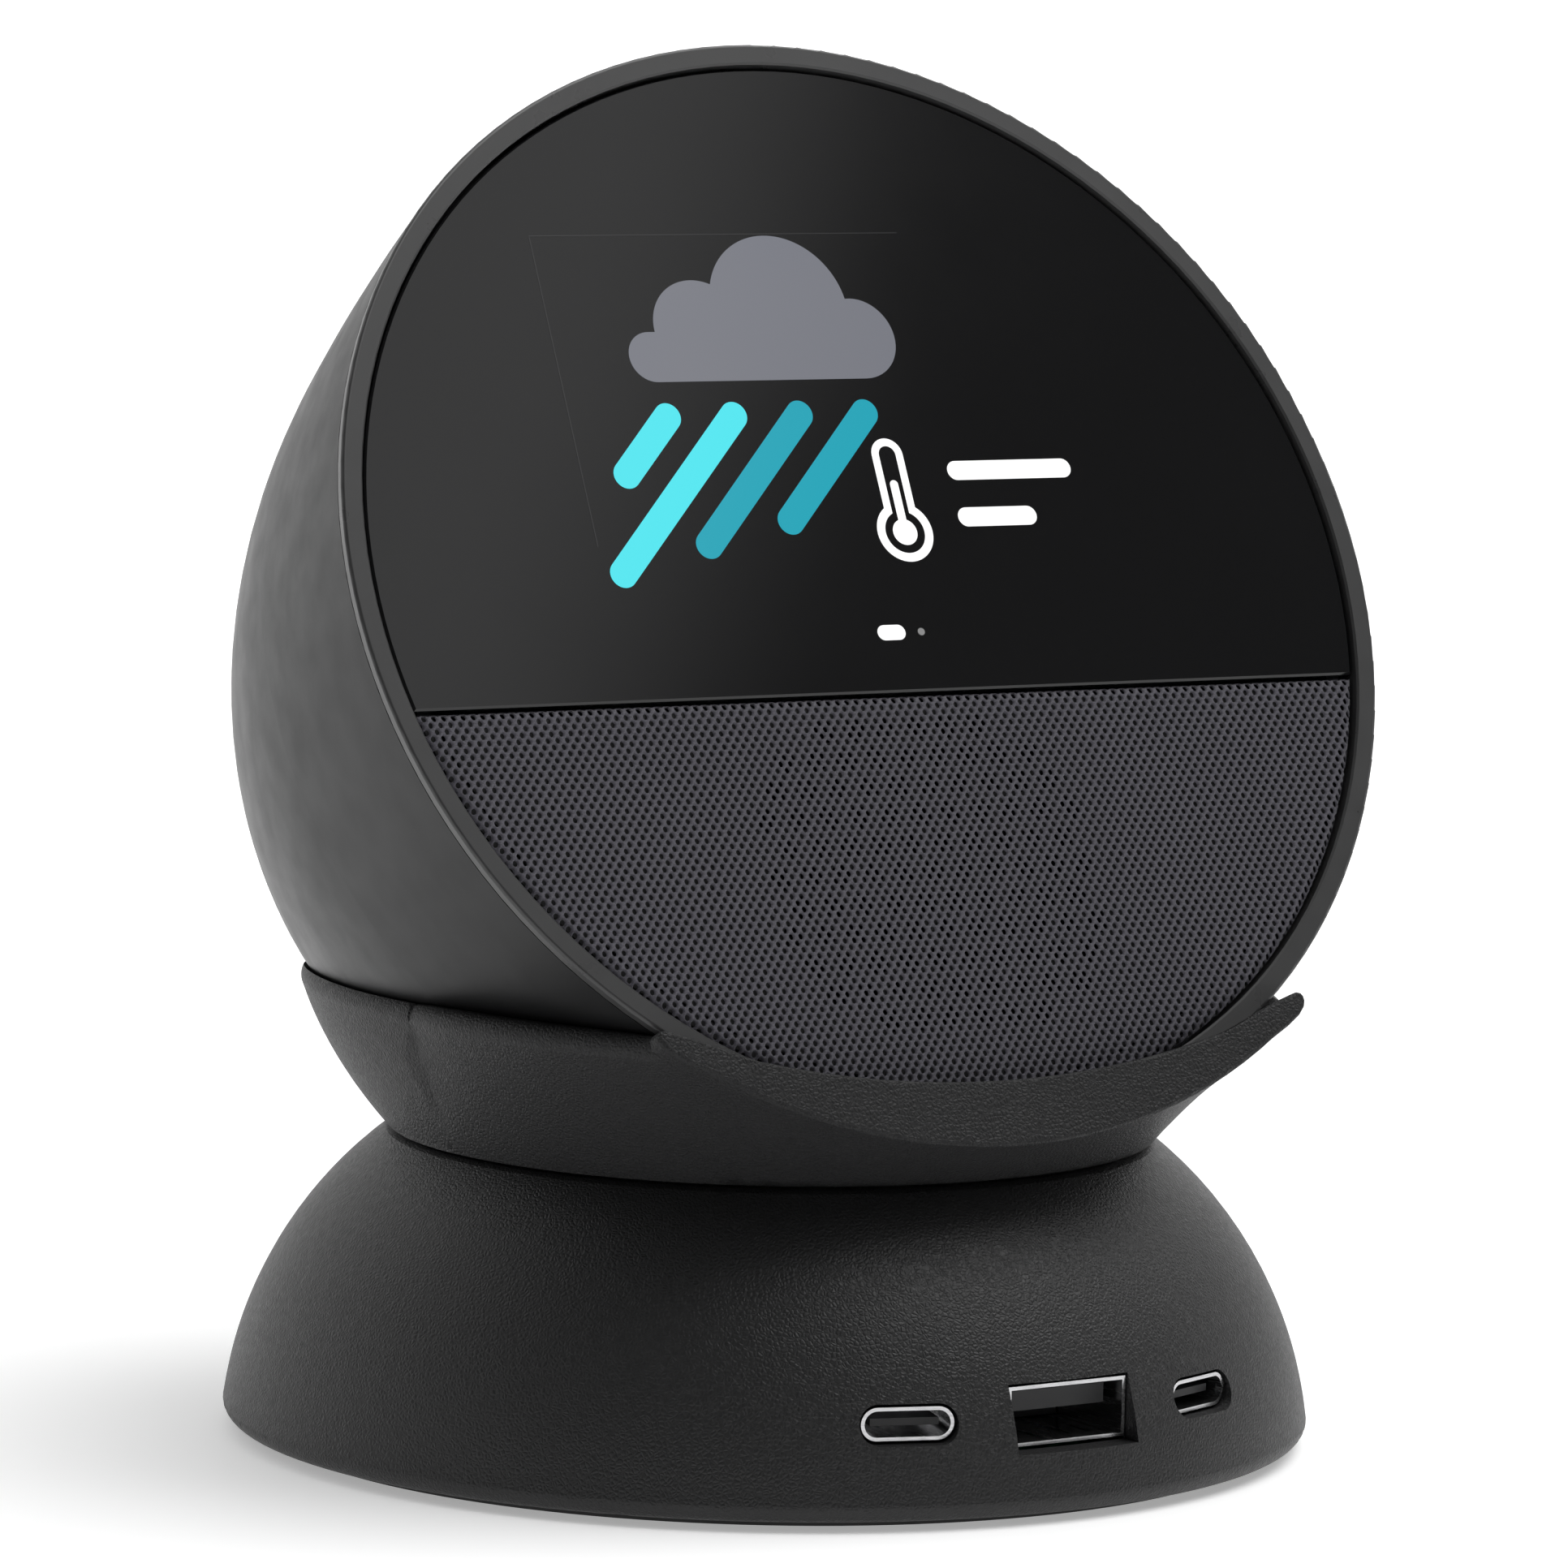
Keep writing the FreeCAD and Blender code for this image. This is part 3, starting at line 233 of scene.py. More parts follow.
def grained_plastic(name, colour, rough, level, cell, depth):
    r = Recipe(name, colour, rough, Specular_IOR_Level=level)
    wander = r.node("ShaderNodeTexNoise", Vector=r.place, Scale=900.0, Detail=2.0)
    bent = r.node("ShaderNodeVectorMath", operation="MULTIPLY_ADD")
    r.tree.links.new(wander.outputs["Color"], bent.inputs[0])
    bent.inputs[1].default_value = (GRAIN_BEND,) * 3
    r.tree.links.new(r.place, bent.inputs[2])
    pebbles = r.cells(cell, "DISTANCE_TO_EDGE", bent.outputs["Vector"])
    creased = r.spread(pebbles, 0.0, 1.0, 0.0, CREASE_WIDTH)
    r.mottle(r.noise(90.0, 3.0), 0.18)
    r.gloss(r.noise(1500.0, 3.0), 0.05)
    r.bump(r.noise(4200.0, 3.0), depth * 0.8, 0.7)
    r.bump(creased, depth, 0.8)
    finishes[name] = r.mat


satin_plastic("satin_shell", (0.0085, 0.0085, 0.0088), 0.38, 0.18)
satin_plastic("bezel_grey", (0.034, 0.034, 0.0344), 0.30, 0.48)
grained_plastic("grained_black", (0.0130, 0.0130, 0.0134), 0.46, 0.40, 2300.0, 0.00005)
# The cup is the same grained plastic as the dome. This copy's lighter base colour is painted light
# that brightens the key-lit lip, and its gloss is weaker.
grained_plastic("grained_cup_painted_lit", (0.0200, 0.0200, 0.0205), 0.46, 0.16, 2300.0, 0.00007)
print("moulded plastics:", sorted(finishes))

# %% [markdown]
# ## Glass, rubber and inner plastics
# The screen's cover is black printed glass: a dark base under a smooth, slightly wavy coat. The
# keys and feet are rubber, which scatters light and shows dust. Parts inside the case are plain
# engineering plastics, and each gets the texture that its process leaves.

# %% Glass, rubber and inner plastics
def cover_glass_finish():
    r = Recipe("screen_glass", (0.0056, 0.0056, 0.0060), 0.07, IOR=1.5, Specular_IOR_Level=0.5)
    r.mottle(r.noise(30.0, 2.0), 0.25)
    r.gloss(r.noise(45.0, 5.0), 0.012)
    r.bump(r.noise(12.0, 1.0), 0.00002, 0.25)
    finishes["screen_glass"] = r.mat


def matt_finish(name, colour, rough, dust, fine, depth, **sockets):
    r = Recipe(name, colour, rough, **sockets)
    r.mottle(r.spread(r.noise(dust, 4.0), 0.0, 1.0, 0.45, 0.75), 0.5)
    r.gloss(r.noise(dust * 2.0, 3.0), 0.06)
    r.bump(r.noise(fine, 3.0), depth, 0.6)
    finishes[name] = r.mat


cover_glass_finish()
matt_finish("key_rubber", (0.014, 0.014, 0.0145), 0.55, 300.0, 5000.0, 0.00001)
matt_finish("foot_rubber", (0.012, 0.012, 0.012), 0.78, 260.0, 3000.0, 0.00003)
matt_finish("inner_black", (0.016, 0.016, 0.017), 0.5, 200.0, 4000.0, 0.000015)
matt_finish("slip_ring", (0.62, 0.61, 0.57), 0.35, 150.0, 2500.0, 0.00001)
matt_finish("cell_wrap", (0.035, 0.13, 0.30), 0.28, 180.0, 900.0, 0.00001)
matt_finish("ferrite", (0.030, 0.029, 0.030), 0.62, 350.0, 2400.0, 0.00003)
matt_finish("light_pipe", (0.55, 0.60, 0.58), 0.22, 250.0, 2000.0, 0.000004,
            Transmission_Weight=0.35)
print("finishes so far:", len(finishes))

# %% [markdown]
# ## Metals
# Rolled and drawn metal has fine lines along the way it was worked. A noise stretched a hundred
# times in one direction makes them, and drives both the gloss and a very shallow bump.

# %% Metals
def drawn_metal(name, colour, rough, lines, turn=(0, 0, 0)):
    r = Recipe(name, colour, rough, metal=1.0)
    grain = r.noise(1.0, 4.0, r.stretched(lines, turn))
    r.mottle(r.spread(grain, 0.0, 1.0), -0.16)
    r.gloss(grain, 0.07)
    r.bump(grain, 0.000006, 0.5)
    finishes[name] = r.mat


drawn_metal("socket_steel", (0.60, 0.60, 0.61), 0.24, (600.0, 60.0, 6000.0))
drawn_metal("thin_steel", (0.52, 0.53, 0.54), 0.32, (80.0, 4000.0, 4000.0))
drawn_metal("aluminium_sheet", (0.74, 0.75, 0.76), 0.36, (60.0, 5000.0, 5000.0))
drawn_metal("screw_steel", (0.36, 0.36, 0.38), 0.30, (2500.0, 2500.0, 300.0))
print("metals:", [n for n in finishes if "steel" in n or "alu" in n])


# %% [markdown]
# ## Boards, windings, paper and liquid crystal
# These sit inside, but they are real pieces and carry real surfaces: solder mask with copper
# traces under it, enamelled wire side by side, pressed paper fibres, and the faint grid of the
# display's own layers. A brick pattern stands in for traces, and a wave pattern for the wire.

# %% Boards, windings, paper and liquid crystal
def board_finish():
    r = Recipe("circuit_board", (0.006, 0.050, 0.026), 0.33)
    traces = r.node("ShaderNodeTexBrick", Vector=r.stretched((1, 1, 1), (0.6, 0, 0)), Scale=900.0,
                    Mortar_Size=0.035, Brick_Width=1.7, Row_Height=0.45)
    r.mottle(traces.outputs["Fac"], 0.0, tint=(0.020, 0.105, 0.050))
    r.bump(traces.outputs["Fac"], 0.00002, 0.5)
    r.bump(r.noise(3000.0, 3.0), 0.00001, 0.4)
    finishes["circuit_board"] = r.mat


def winding_finish():
    r = Recipe("copper_winding", (0.55, 0.20, 0.075), 0.25, metal=1.0)
    turns = r.node("ShaderNodeTexWave", Vector=r.stretched((1, 1, 1), (LEAN, 0, 0)), Scale=1300.0,
                   Distortion=0.2, bands_direction="Y").outputs["Fac"]
    r.mottle(turns, -0.35)
    r.bump(turns, 0.00006, 0.9)
    finishes["copper_winding"] = r.mat


def paper_finish():
    r = Recipe("pressed_paper", (0.030, 0.029, 0.028), 0.85)
    fibres = r.noise(1.0, 5.0, r.stretched((900.0, 5000.0, 900.0)))
    crossed = r.noise(1.0, 5.0, r.stretched((5000.0, 800.0, 1500.0), (0.4, 0.3, 0.9)))
    both = r.math("MAXIMUM", fibres, crossed)
    r.mottle(r.spread(both, 0.0, 1.0, 0.45, 0.75), 1.2)
    r.bump(both, 0.00006, 0.9)
    finishes["pressed_paper"] = r.mat


def panel_finish():
    r = Recipe("lcd_panel", (0.020, 0.021, 0.024), 0.20)
    grid = r.node("ShaderNodeTexBrick", Vector=r.stretched((1, 1, 1), (-LEAN, 0, 0)), Scale=5000.0,
                  Mortar_Size=0.06, Brick_Width=0.5, Row_Height=0.5, offset=0.0)
    r.mottle(grid.outputs["Fac"], 1.0)
    r.gloss(r.noise(200.0), 0.03)
    finishes["lcd_panel"] = r.mat


board_finish()
winding_finish()
paper_finish()
panel_finish()
print("finishes in all:", len(finishes))

# %% [markdown]
# ## Put the finishes on the solid pieces
# Each solid piece is a node of the frame and keeps its mesh. Only its material slots change, so
# one table from finish to nodes is enough.

# %% Finishes on the nodes
WEARS = {
    "satin_shell": ["rear_shell"],
    "bezel_grey": ["bezel_ring"],
    "screen_glass": ["cover_glass"],
    "grained_black": ["cradle_cup", "dome_housing"],
    "key_rubber": ["volume_up_button", "mute_button", "volume_down_button", "power_button"],
    "foot_rubber": ["foot_pad", "head_foot_pad", "cradle_pad", "speaker_surround"],
    "inner_black": ["front_chassis", "grille_cloth", "grille_frame", "speaker_enclosure",
                    "button_bracket", "head_base_plate", "base_plate", "cell_holder", "dc_jack",
                    "dc_outlet", "usb_a_tongue", "usb_c_left_tongue", "usb_c_right_tongue",
                    "dust_cap", "speaker_leads", "microphones", "port_spacers"],
    "slip_ring": ["swivel_spindle", "thrust_ring"],
    "cell_wrap": ["battery_cells"],
    "ferrite": ["speaker_magnet"],
    "light_pipe": ["charge_leds"],
    "socket_steel": ["usb_a_shell", "usb_c_left_shell", "usb_c_right_shell"],
    "thin_steel": ["backlight_tray", "speaker_basket", "shield_cans", "wave_washer",
                   "retaining_clip", "button_switches"],
    "aluminium_sheet": ["heat_spreader"],
    "screw_steel": ["board_screws", "base_screws"],
    "circuit_board": ["main_board", "power_board", "button_strip"],
    "copper_winding": ["voice_coil"],
    "pressed_paper": ["speaker_cone"],
    "lcd_panel": ["display_panel"],
}


def dress(node, finish):
    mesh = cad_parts[node].data
    mesh.materials.clear()
    mesh.materials.append(finishes[finish])


for finish, nodes in WEARS.items():
    for node in nodes:
        dress(node, finish)
bare = set(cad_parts) - {n for nodes in WEARS.values() for n in nodes}
print("nodes without a finish:", sorted(bare))

# %% [markdown]
# ## Round tips for the cup's lip
# The cup of the solid model is cut with sharp tools, and the two tips of its lip end square. A
# moulded lip ends in a blunt, rounded tip. This piece starts from the same mesh and joins a small
# rounded plate to each end of the lip. A small step where the front wall meets the rear bowl is
# closed by moving its points onto the front wall. Then the shading is set: edges sharper than a
# limit stay crisp, all others are smooth, and large faces count for more, so flat parts look flat.
# The thin slit at the back of the cup's floor is in the solid model too, and is left as it is.

# %% Cup with rounded tips
TIP_LINE = [(26.0, -48.95), (30.5, -47.1), (33.0, -46.15), (34.6, -45.62), (35.3, -45.42),
            (35.75, -45.55), (36.0, -45.9), (36.03, -46.4), (35.8, -47.0), (35.1, -47.75),
            (33.6, -48.75), (31.4, -49.95), (28.0, -51.0)]
TIP_LEVELS = ((0.0, 0.45), (0.0, 1.85), (0.06, 2.08), (0.2, 2.24), (0.42, 2.305))
CRISP = math.radians(28)
JOIN_Y, JOIN_NEAR = -0.004, 0.00004
JOIN_OUTSIDE = 0.0370
WALL = ((30.3, 37.79), (36.76, 40.48), (40.03, 41.72), (43.45, 43.01))
SAME_POINT, NO_EDGE = 0.000003, 0.00001


def front_wall_at(z):
    """Half width of the front wall at its join with the bowl, in millimetres."""
    for (z0, x0), (z1, x1) in zip(WALL, WALL[1:]):
        if z <= z1:
            return x0 + (x1 - x0) * (z - z0) / (z1 - z0)
    return WALL[-1][1]


def on_join(co):
    """On the line between the front wall and the bowl, below the rounded rim."""
    return (abs(co.y - JOIN_Y) < JOIN_NEAR and WALL[0][0] * MM < co.z < WALL[-1][0] * MM
            and abs(co.x) > JOIN_OUTSIDE)


def inset(line, by):
    """Move each corner of an outline (clockwise) inward."""
    moved = []
    for k, (x, y) in enumerate(line):
        before, after = line[k - 1], line[(k + 1) % len(line)]
        tx, ty = after[0] - before[0], after[1] - before[1]
        size = math.hypot(tx, ty)
        moved.append((x + by * ty / size, y - by * tx / size))
    return moved


def lip_tip(side):
    bm = bmesh.new()
    rings = [[bm.verts.new(on_face(side * u, v, w)) for u, v in inset(TIP_LINE, by)]
             for by, w in TIP_LEVELS]
    for low, high in zip(rings, rings[1:]):
        for k in range(len(low)):
            n = (k + 1) % len(low)
            bm.faces.new((low[k], low[n], high[n], high[k]))
    bm.faces.new(rings[0][::-1])
    bm.faces.new(rings[-1])
    bmesh.ops.recalc_face_normals(bm, faces=bm.faces[:])
    mesh = bpy.data.meshes.new("tip")
    bm.to_mesh(mesh)
    bm.free()
    made = bpy.data.objects.new("tip", mesh)
    bpy.context.scene.collection.objects.link(made)
    return made


def frozen(obj, name):
    """The object's mesh with its modifiers worked out."""
    bpy.context.view_layer.update()
    seen = obj.evaluated_get(bpy.context.evaluated_depsgraph_get())
    mesh = bpy.data.meshes.new_from_object(seen)
    mesh.name = name
    return mesh


def cup_with_tips():
    bm = bmesh.new()
    bm.from_mesh(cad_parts["cradle_cup"].data)
    bmesh.ops.remove_doubles(bm, verts=bm.verts[:], dist=SAME_POINT)
    for vert in bm.verts:
        if on_join(vert.co):
            vert.co.x = math.copysign(front_wall_at(vert.co.z / MM) * MM, vert.co.x)
    bmesh.ops.dissolve_degenerate(bm, dist=NO_EDGE, edges=bm.edges[:])
    mesh = bpy.data.meshes.new("cup_start")
    bm.to_mesh(mesh)
    bm.free()
    cup = bpy.data.objects.new("cup_skin", mesh)
    bpy.context.scene.collection.objects.link(cup)
    tips = [lip_tip(side) for side in (1, -1)]
    for tip in tips:
        join = cup.modifiers.new("join", "BOOLEAN")
        join.operation, join.solver, join.object = "UNION", "EXACT", tip
    joined = frozen(cup, "cup_skin")
    cup.modifiers.clear()
    for tip in tips:
        bpy.data.objects.remove(tip)
    joined.shade_smooth()
    joined.set_sharp_from_angle(angle=CRISP)
    for edge in joined.edges:
        if all(on_join(joined.vertices[v].co) for v in edge.vertices):
            edge.use_edge_sharp = False
    joined.materials.clear()
    # The cup wears the lighter copy of the grained plastic. Its extra lightness is painted light
    # for the key-lit lip.
    joined.materials.append(finishes["grained_cup_painted_lit"])
    cup.data = joined
    even = cup.modifiers.new("even", "WEIGHTED_NORMAL")
    even.keep_sharp = True
    cup.data = frozen(cup, "cup_skin")
    cup.modifiers.clear()
    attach(cup, "cradle")
    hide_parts("cradle_cup")
    print("cup_skin", len(cup.data.polygons), "faces,", open_edges(cup), "open edges")


def open_edges(obj):
    bm = bmesh.new()
    bm.from_mesh(obj.data)
    count = sum(len(edge.link_faces) != 2 for edge in bm.edges)
    bm.free()
    return count


cup_with_tips()

# %% [markdown]
# ## Knitted speaker cloth
# The lower part of the face is an open warp-knit cloth over a perforated plate. Up close it is a
# net of yarn round small oval holes in staggered rows, 1.05 mm apart across and 0.67 mm up. A
# picture of holes would look flat from the side, so the net is real geometry. One loop of yarn is
# given point by point: three rings of eight points, from the groove between two columns of yarn,
# over the crest, and down into the hole. Geometry Nodes then repeats it over the whole cloth.

# %% Yarn for the cloth
def yarn_finish():
    r = Recipe("knit_yarn", (0.105, 0.101, 0.122), 0.72, Sheen_Weight=0.25, Sheen_Roughness=0.5,
               Specular_IOR_Level=0.3)
    along = r.stretched((9000.0, 2200.0, 9000.0), (-(math.pi / 2 - LEAN), 0, 0))
    fibres = r.noise(1.0, 4.0, along)
    r.mottle(r.spread(fibres, 0.0, 1.0, 0.35, 0.65), -0.35)
    r.bump(fibres, 0.00005, 0.8)
    finishes["knit_yarn"] = r.mat


yarn_finish()

# %% One loop of yarn
LOOP_WIDE, LOOP_ROW = 1.045, 0.668
SIDE_HALF = (LOOP_ROW ** 2 - LOOP_WIDE ** 2 / 4) / (2 * LOOP_ROW)
TOP_HALF = (LOOP_WIDE ** 2 / 4 + LOOP_ROW ** 2) / (2 * LOOP_ROW)


def yarn_loop():
    """Six-sided cell with a hole: outer ring on the cell's edge, then crest, then hole rim."""
    w = LOOP_WIDE / 2
    groove, shoulder, tip = -0.08, -0.03, -0.01
    outer = [(w, 0, groove), (w, SIDE_HALF, shoulder), (0, TOP_HALF, tip),
             (-w, SIDE_HALF, shoulder), (-w, 0, groove), (-w, -SIDE_HALF, shoulder),
             (0, -TOP_HALF, tip), (w, -SIDE_HALF, shoulder)]
    crest, rim = [], []
    for k in range(8):
        angle = math.pi / 4 * k
        crest.append((0.375 * math.cos(angle), 0.425 * math.sin(angle),
                      0.02 - 0.03 * math.sin(angle) ** 2))
        rim.append((0.235 * math.cos(angle), 0.30 * math.sin(angle), -0.22))
    mesh = bpy.data.meshes.new("yarn_loop")
    points = [tuple(c * MM for c in p) for p in outer + crest + rim]
    faces = [(a + k, a + (k + 1) % 8, a + 8 + (k + 1) % 8, a + 8 + k)
             for a in (0, 8) for k in range(8)]
    mesh.from_pydata(points, [], faces)
    loop = bpy.data.objects.new("yarn_loop", mesh)
    bpy.context.scene.collection.objects.link(loop)
    return loop


loop = yarn_loop()
print("one loop:", len(loop.data.polygons), "faces")

# %% [markdown]
# ## The knitting tree
# A grid gives the loop centres. Every second row moves half a loop sideways, and points outside
# the cloth are deleted. After the loops are placed and welded together, two Set Position steps
# shape the whole net: the first pushes the points past the edge back onto the cloth's outline,
# and the second rolls the last half millimetre down, where the cloth wraps round its frame.

# %% Tree helpers
class Knitting:
    """A small writer for Geometry Nodes trees: nodes, sums and named inputs."""

    def __init__(self, name):
        self.tree = bpy.data.node_groups.new(name, "GeometryNodeTree")
        self.tree.is_modifier = True
        for way in ("INPUT", "OUTPUT"):
            self.tree.interface.new_socket("Geometry", in_out=way,
                                           socket_type="NodeSocketGeometry")
        self.sockets = {}
        self.source = None
        self.sink = self.tree.nodes.new("NodeGroupOutput")

    def ask(self, name, kind="NodeSocketFloat"):
        self.sockets[name] = self.tree.interface.new_socket(name, in_out="INPUT",
                                                            socket_type=kind)

    def given(self, name):
        if self.source is None:
            self.source = self.tree.nodes.new("NodeGroupInput")
        return self.source.outputs[name]

    def feed(self, value, socket):
        if isinstance(value, bpy.types.NodeSocket):
            self.tree.links.new(value, socket)
        elif value is not None:
            socket.default_value = value

    def add(self, kind, inputs=None, **settings):
        made = self.tree.nodes.new(kind)
        for key, value in settings.items():
            setattr(made, key, value)
        for key, value in (inputs or {}).items():
            self.feed(value, made.inputs[key])
        return made

    def sum(self, operation, a, b=None, c=None):
        made = self.add("ShaderNodeMath", operation=operation)
        for socket, value in zip(made.inputs, (a, b, c)):
            self.feed(value, socket)
        return made.outputs[0]

    def vector(self, x, y, z):
        return self.add("ShaderNodeCombineXYZ", {"X": x, "Y": y, "Z": z}).outputs[0]

    def here(self):
        """The point's own x, y and z."""
        place = self.add("GeometryNodeInputPosition")
        return self.add("ShaderNodeSeparateXYZ", {0: place.outputs[0]}).outputs

    def run(self, name, values):
        """Use the tree on an empty mesh, freeze the result, and drop the modifier."""
        start = bpy.data.objects.new(name + "_start", bpy.data.meshes.new(name))
        bpy.context.scene.collection.objects.link(start)
        use = start.modifiers.new("made", "NODES")
        use.node_group = self.tree
        for key, value in values.items():
            use[self.sockets[key].identifier] = value
        bpy.context.view_layer.update()
        seen = start.evaluated_get(bpy.context.evaluated_depsgraph_get())
        mesh = bpy.data.meshes.new_from_object(seen)
        start.modifiers.remove(use)
        bpy.data.objects.remove(start)
        mesh.name = name
        made = bpy.data.objects.new(name, mesh)
        bpy.context.scene.collection.objects.link(made)
        print(name, len(mesh.polygons), "faces")
        return made


print("loop is %.2f mm wide, rows are %.2f mm apart" % (LOOP_WIDE, LOOP_ROW))

# %% The knitting tree
HALF_ROWS, HALF_COLS, ROWS_DOWN = 64, 54, -60.0
WELD, FINAL_WELD = 0.00002, 0.00004
EDGE_DROP = -0.00042
CLOTH_W = -0.52


def knitting_tree():
    k = Knitting("knitting")
    for name in ("Loop width", "Row height", "Cloth radius", "Cloth top", "Edge roll"):
        k.ask(name)
    k.ask("Loop", "NodeSocketObject")
    k.ask("Yarn", "NodeSocketMaterial")
    wide, row = k.given("Loop width"), k.given("Row height")
    radius, top, roll = k.given("Cloth radius"), k.given("Cloth top"), k.given("Edge roll")
    grid = k.add("GeometryNodeMeshGrid", {
        "Size X": k.sum("MULTIPLY", wide, 2.0 * HALF_COLS),
        "Size Y": k.sum("MULTIPLY", row, 2.0 * HALF_ROWS),
        "Vertices X": 2 * HALF_COLS + 1, "Vertices Y": 2 * HALF_ROWS + 1}).outputs["Mesh"]
    number = k.sum("ROUND", k.sum("DIVIDE", k.here()["Y"], row))
    odd = k.sum("FLOORED_MODULO", number, 2.0)
    shift = k.sum("MULTIPLY", k.sum("MULTIPLY", odd, wide), 0.5)
    staggered = k.add("GeometryNodeSetPosition", {
        "Geometry": grid,
        "Offset": k.vector(shift, k.sum("MULTIPLY", row, ROWS_DOWN), 0.0)}).outputs[0]
    x, y, z = (k.here()[c] for c in "XYZ")
    far = k.sum("SQRT", k.sum("ADD", k.sum("MULTIPLY", x, x), k.sum("MULTIPLY", y, y)))
    out_round = k.sum("GREATER_THAN", far, k.sum("ADD", radius, k.sum("MULTIPLY", row, 0.5)))
    out_top = k.sum("GREATER_THAN", y, k.sum("ADD", top, k.sum("MULTIPLY", row, 0.6)))
    kept = k.add("GeometryNodeDeleteGeometry", {
        "Geometry": staggered, "Selection": k.sum("MAXIMUM", out_round, out_top)}).outputs[0]
    shape = k.add("GeometryNodeObjectInfo", {"Object": k.given("Loop")}).outputs["Geometry"]
    placed = k.add("GeometryNodeInstanceOnPoints", {"Points": kept, "Instance": shape}).outputs[0]
    real = k.add("GeometryNodeRealizeInstances", {"Geometry": placed}).outputs[0]
    welded = k.add("GeometryNodeMergeByDistance", {"Geometry": real, "Distance": WELD}).outputs[0]
    pull = k.sum("MINIMUM", k.sum("DIVIDE", radius, far), 1.0)
    pulled_y = k.sum("MINIMUM", k.sum("MULTIPLY", y, pull), top)
    held = k.vector(k.sum("MULTIPLY", x, pull), pulled_y, z)
    fitted = k.add("GeometryNodeSetPosition", {"Geometry": welded, "Position": held}).outputs[0]
    to_edge = k.sum("MINIMUM", k.sum("SUBTRACT", radius, far), k.sum("SUBTRACT", top, y))
    inside = k.sum("DIVIDE", k.sum("MAXIMUM", to_edge, 0.0), roll)
    near = k.sum("SUBTRACT", 1.0, k.sum("MINIMUM", inside, 1.0))
    drop = k.sum("MULTIPLY", k.sum("MULTIPLY", near, near), EDGE_DROP)
    rolled = k.add("GeometryNodeSetPosition", {
        "Geometry": fitted, "Offset": k.vector(0.0, 0.0, drop)}).outputs[0]
    clean = k.add("GeometryNodeMergeByDistance", {
        "Geometry": rolled, "Distance": FINAL_WELD}).outputs[0]
    smooth = k.add("GeometryNodeSetShadeSmooth", {"Geometry": clean}).outputs[0]
    seated = k.add("GeometryNodeTransform", {
        "Geometry": smooth, "Translation": on_face(0, 0, CLOTH_W),
        "Rotation": (math.pi / 2 - LEAN, 0, 0)}).outputs[0]
    real_end = k.add("GeometryNodeRealizeInstances", {"Geometry": seated}).outputs[0]
    last = k.add("GeometryNodeSetMaterial", {"Geometry": real_end, "Material": k.given("Yarn")})
    k.tree.links.new(last.outputs[0], k.sink.inputs[0])
    return k


CLOTH_RADIUS, CLOTH_TOP = 53.95, -12.28
cloth = knitting_tree().run("knit_cloth", {
    "Loop width": LOOP_WIDE * MM, "Row height": LOOP_ROW * MM, "Cloth radius": CLOTH_RADIUS * MM,
    "Cloth top": CLOTH_TOP * MM, "Edge roll": 0.9 * MM, "Loop": loop,
    "Yarn": finishes["knit_yarn"]})
bpy.data.objects.remove(loop)
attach(cloth, "head")
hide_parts("grille_cloth")

# %% [markdown]
# ## The picture on the screen
# The display shows a cloud with rain and a plain reading. Flat shapes of light sit on the glass, a
# few hundredths of a millimetre thick. They glow with Emission, and their own coat is as glossy as
# the glass, so that reflections run on over them without a break. Each shape is an outline in face
# coordinates. A helper turns an outline into a thin plate with a top, a bottom and a closed wall.

# %% Light and plates
def screen_light(name, colour, strength, tint=None):
    r = Recipe(name, (0.004, 0.004, 0.004), 0.07, IOR=1.5)
    r.set("Emission Strength", strength)
    glow = r.node("ShaderNodeMix", data_type="RGBA")
    r.tree.links.new(r.spread(r.noise(28.0, 1.0), 0.0, 1.0, 0.35, 0.65), glow.inputs["Factor"])
    colours = [s for s in glow.inputs if s.type == "RGBA"]
    colours[0].default_value = (*colour, 1.0)
    colours[1].default_value = (*(tint or tuple(c * 0.96 for c in colour)), 1.0)
    r.join([s for s in glow.outputs if s.type == "RGBA"][0], "Emission Color")
    r.gloss(r.noise(45.0, 5.0), 0.012)
    finishes[name] = r.mat


screen_light("white_light", (1.0, 1.0, 1.0), 1.15)
screen_light("cloud_light", (0.216, 0.220, 0.245), 0.92, (0.196, 0.204, 0.240))
screen_light("bright_rain_light", (0.081, 0.791, 0.871), 1.0)
screen_light("dim_rain_light", (0.016, 0.376, 0.485), 1.0)
screen_light("dot_light", (0.26, 0.26, 0.26), 1.0)
screen_light("border_light", (0.030, 0.030, 0.031), 1.0)

GLASS_W = -0.5
PLATE = 0.03


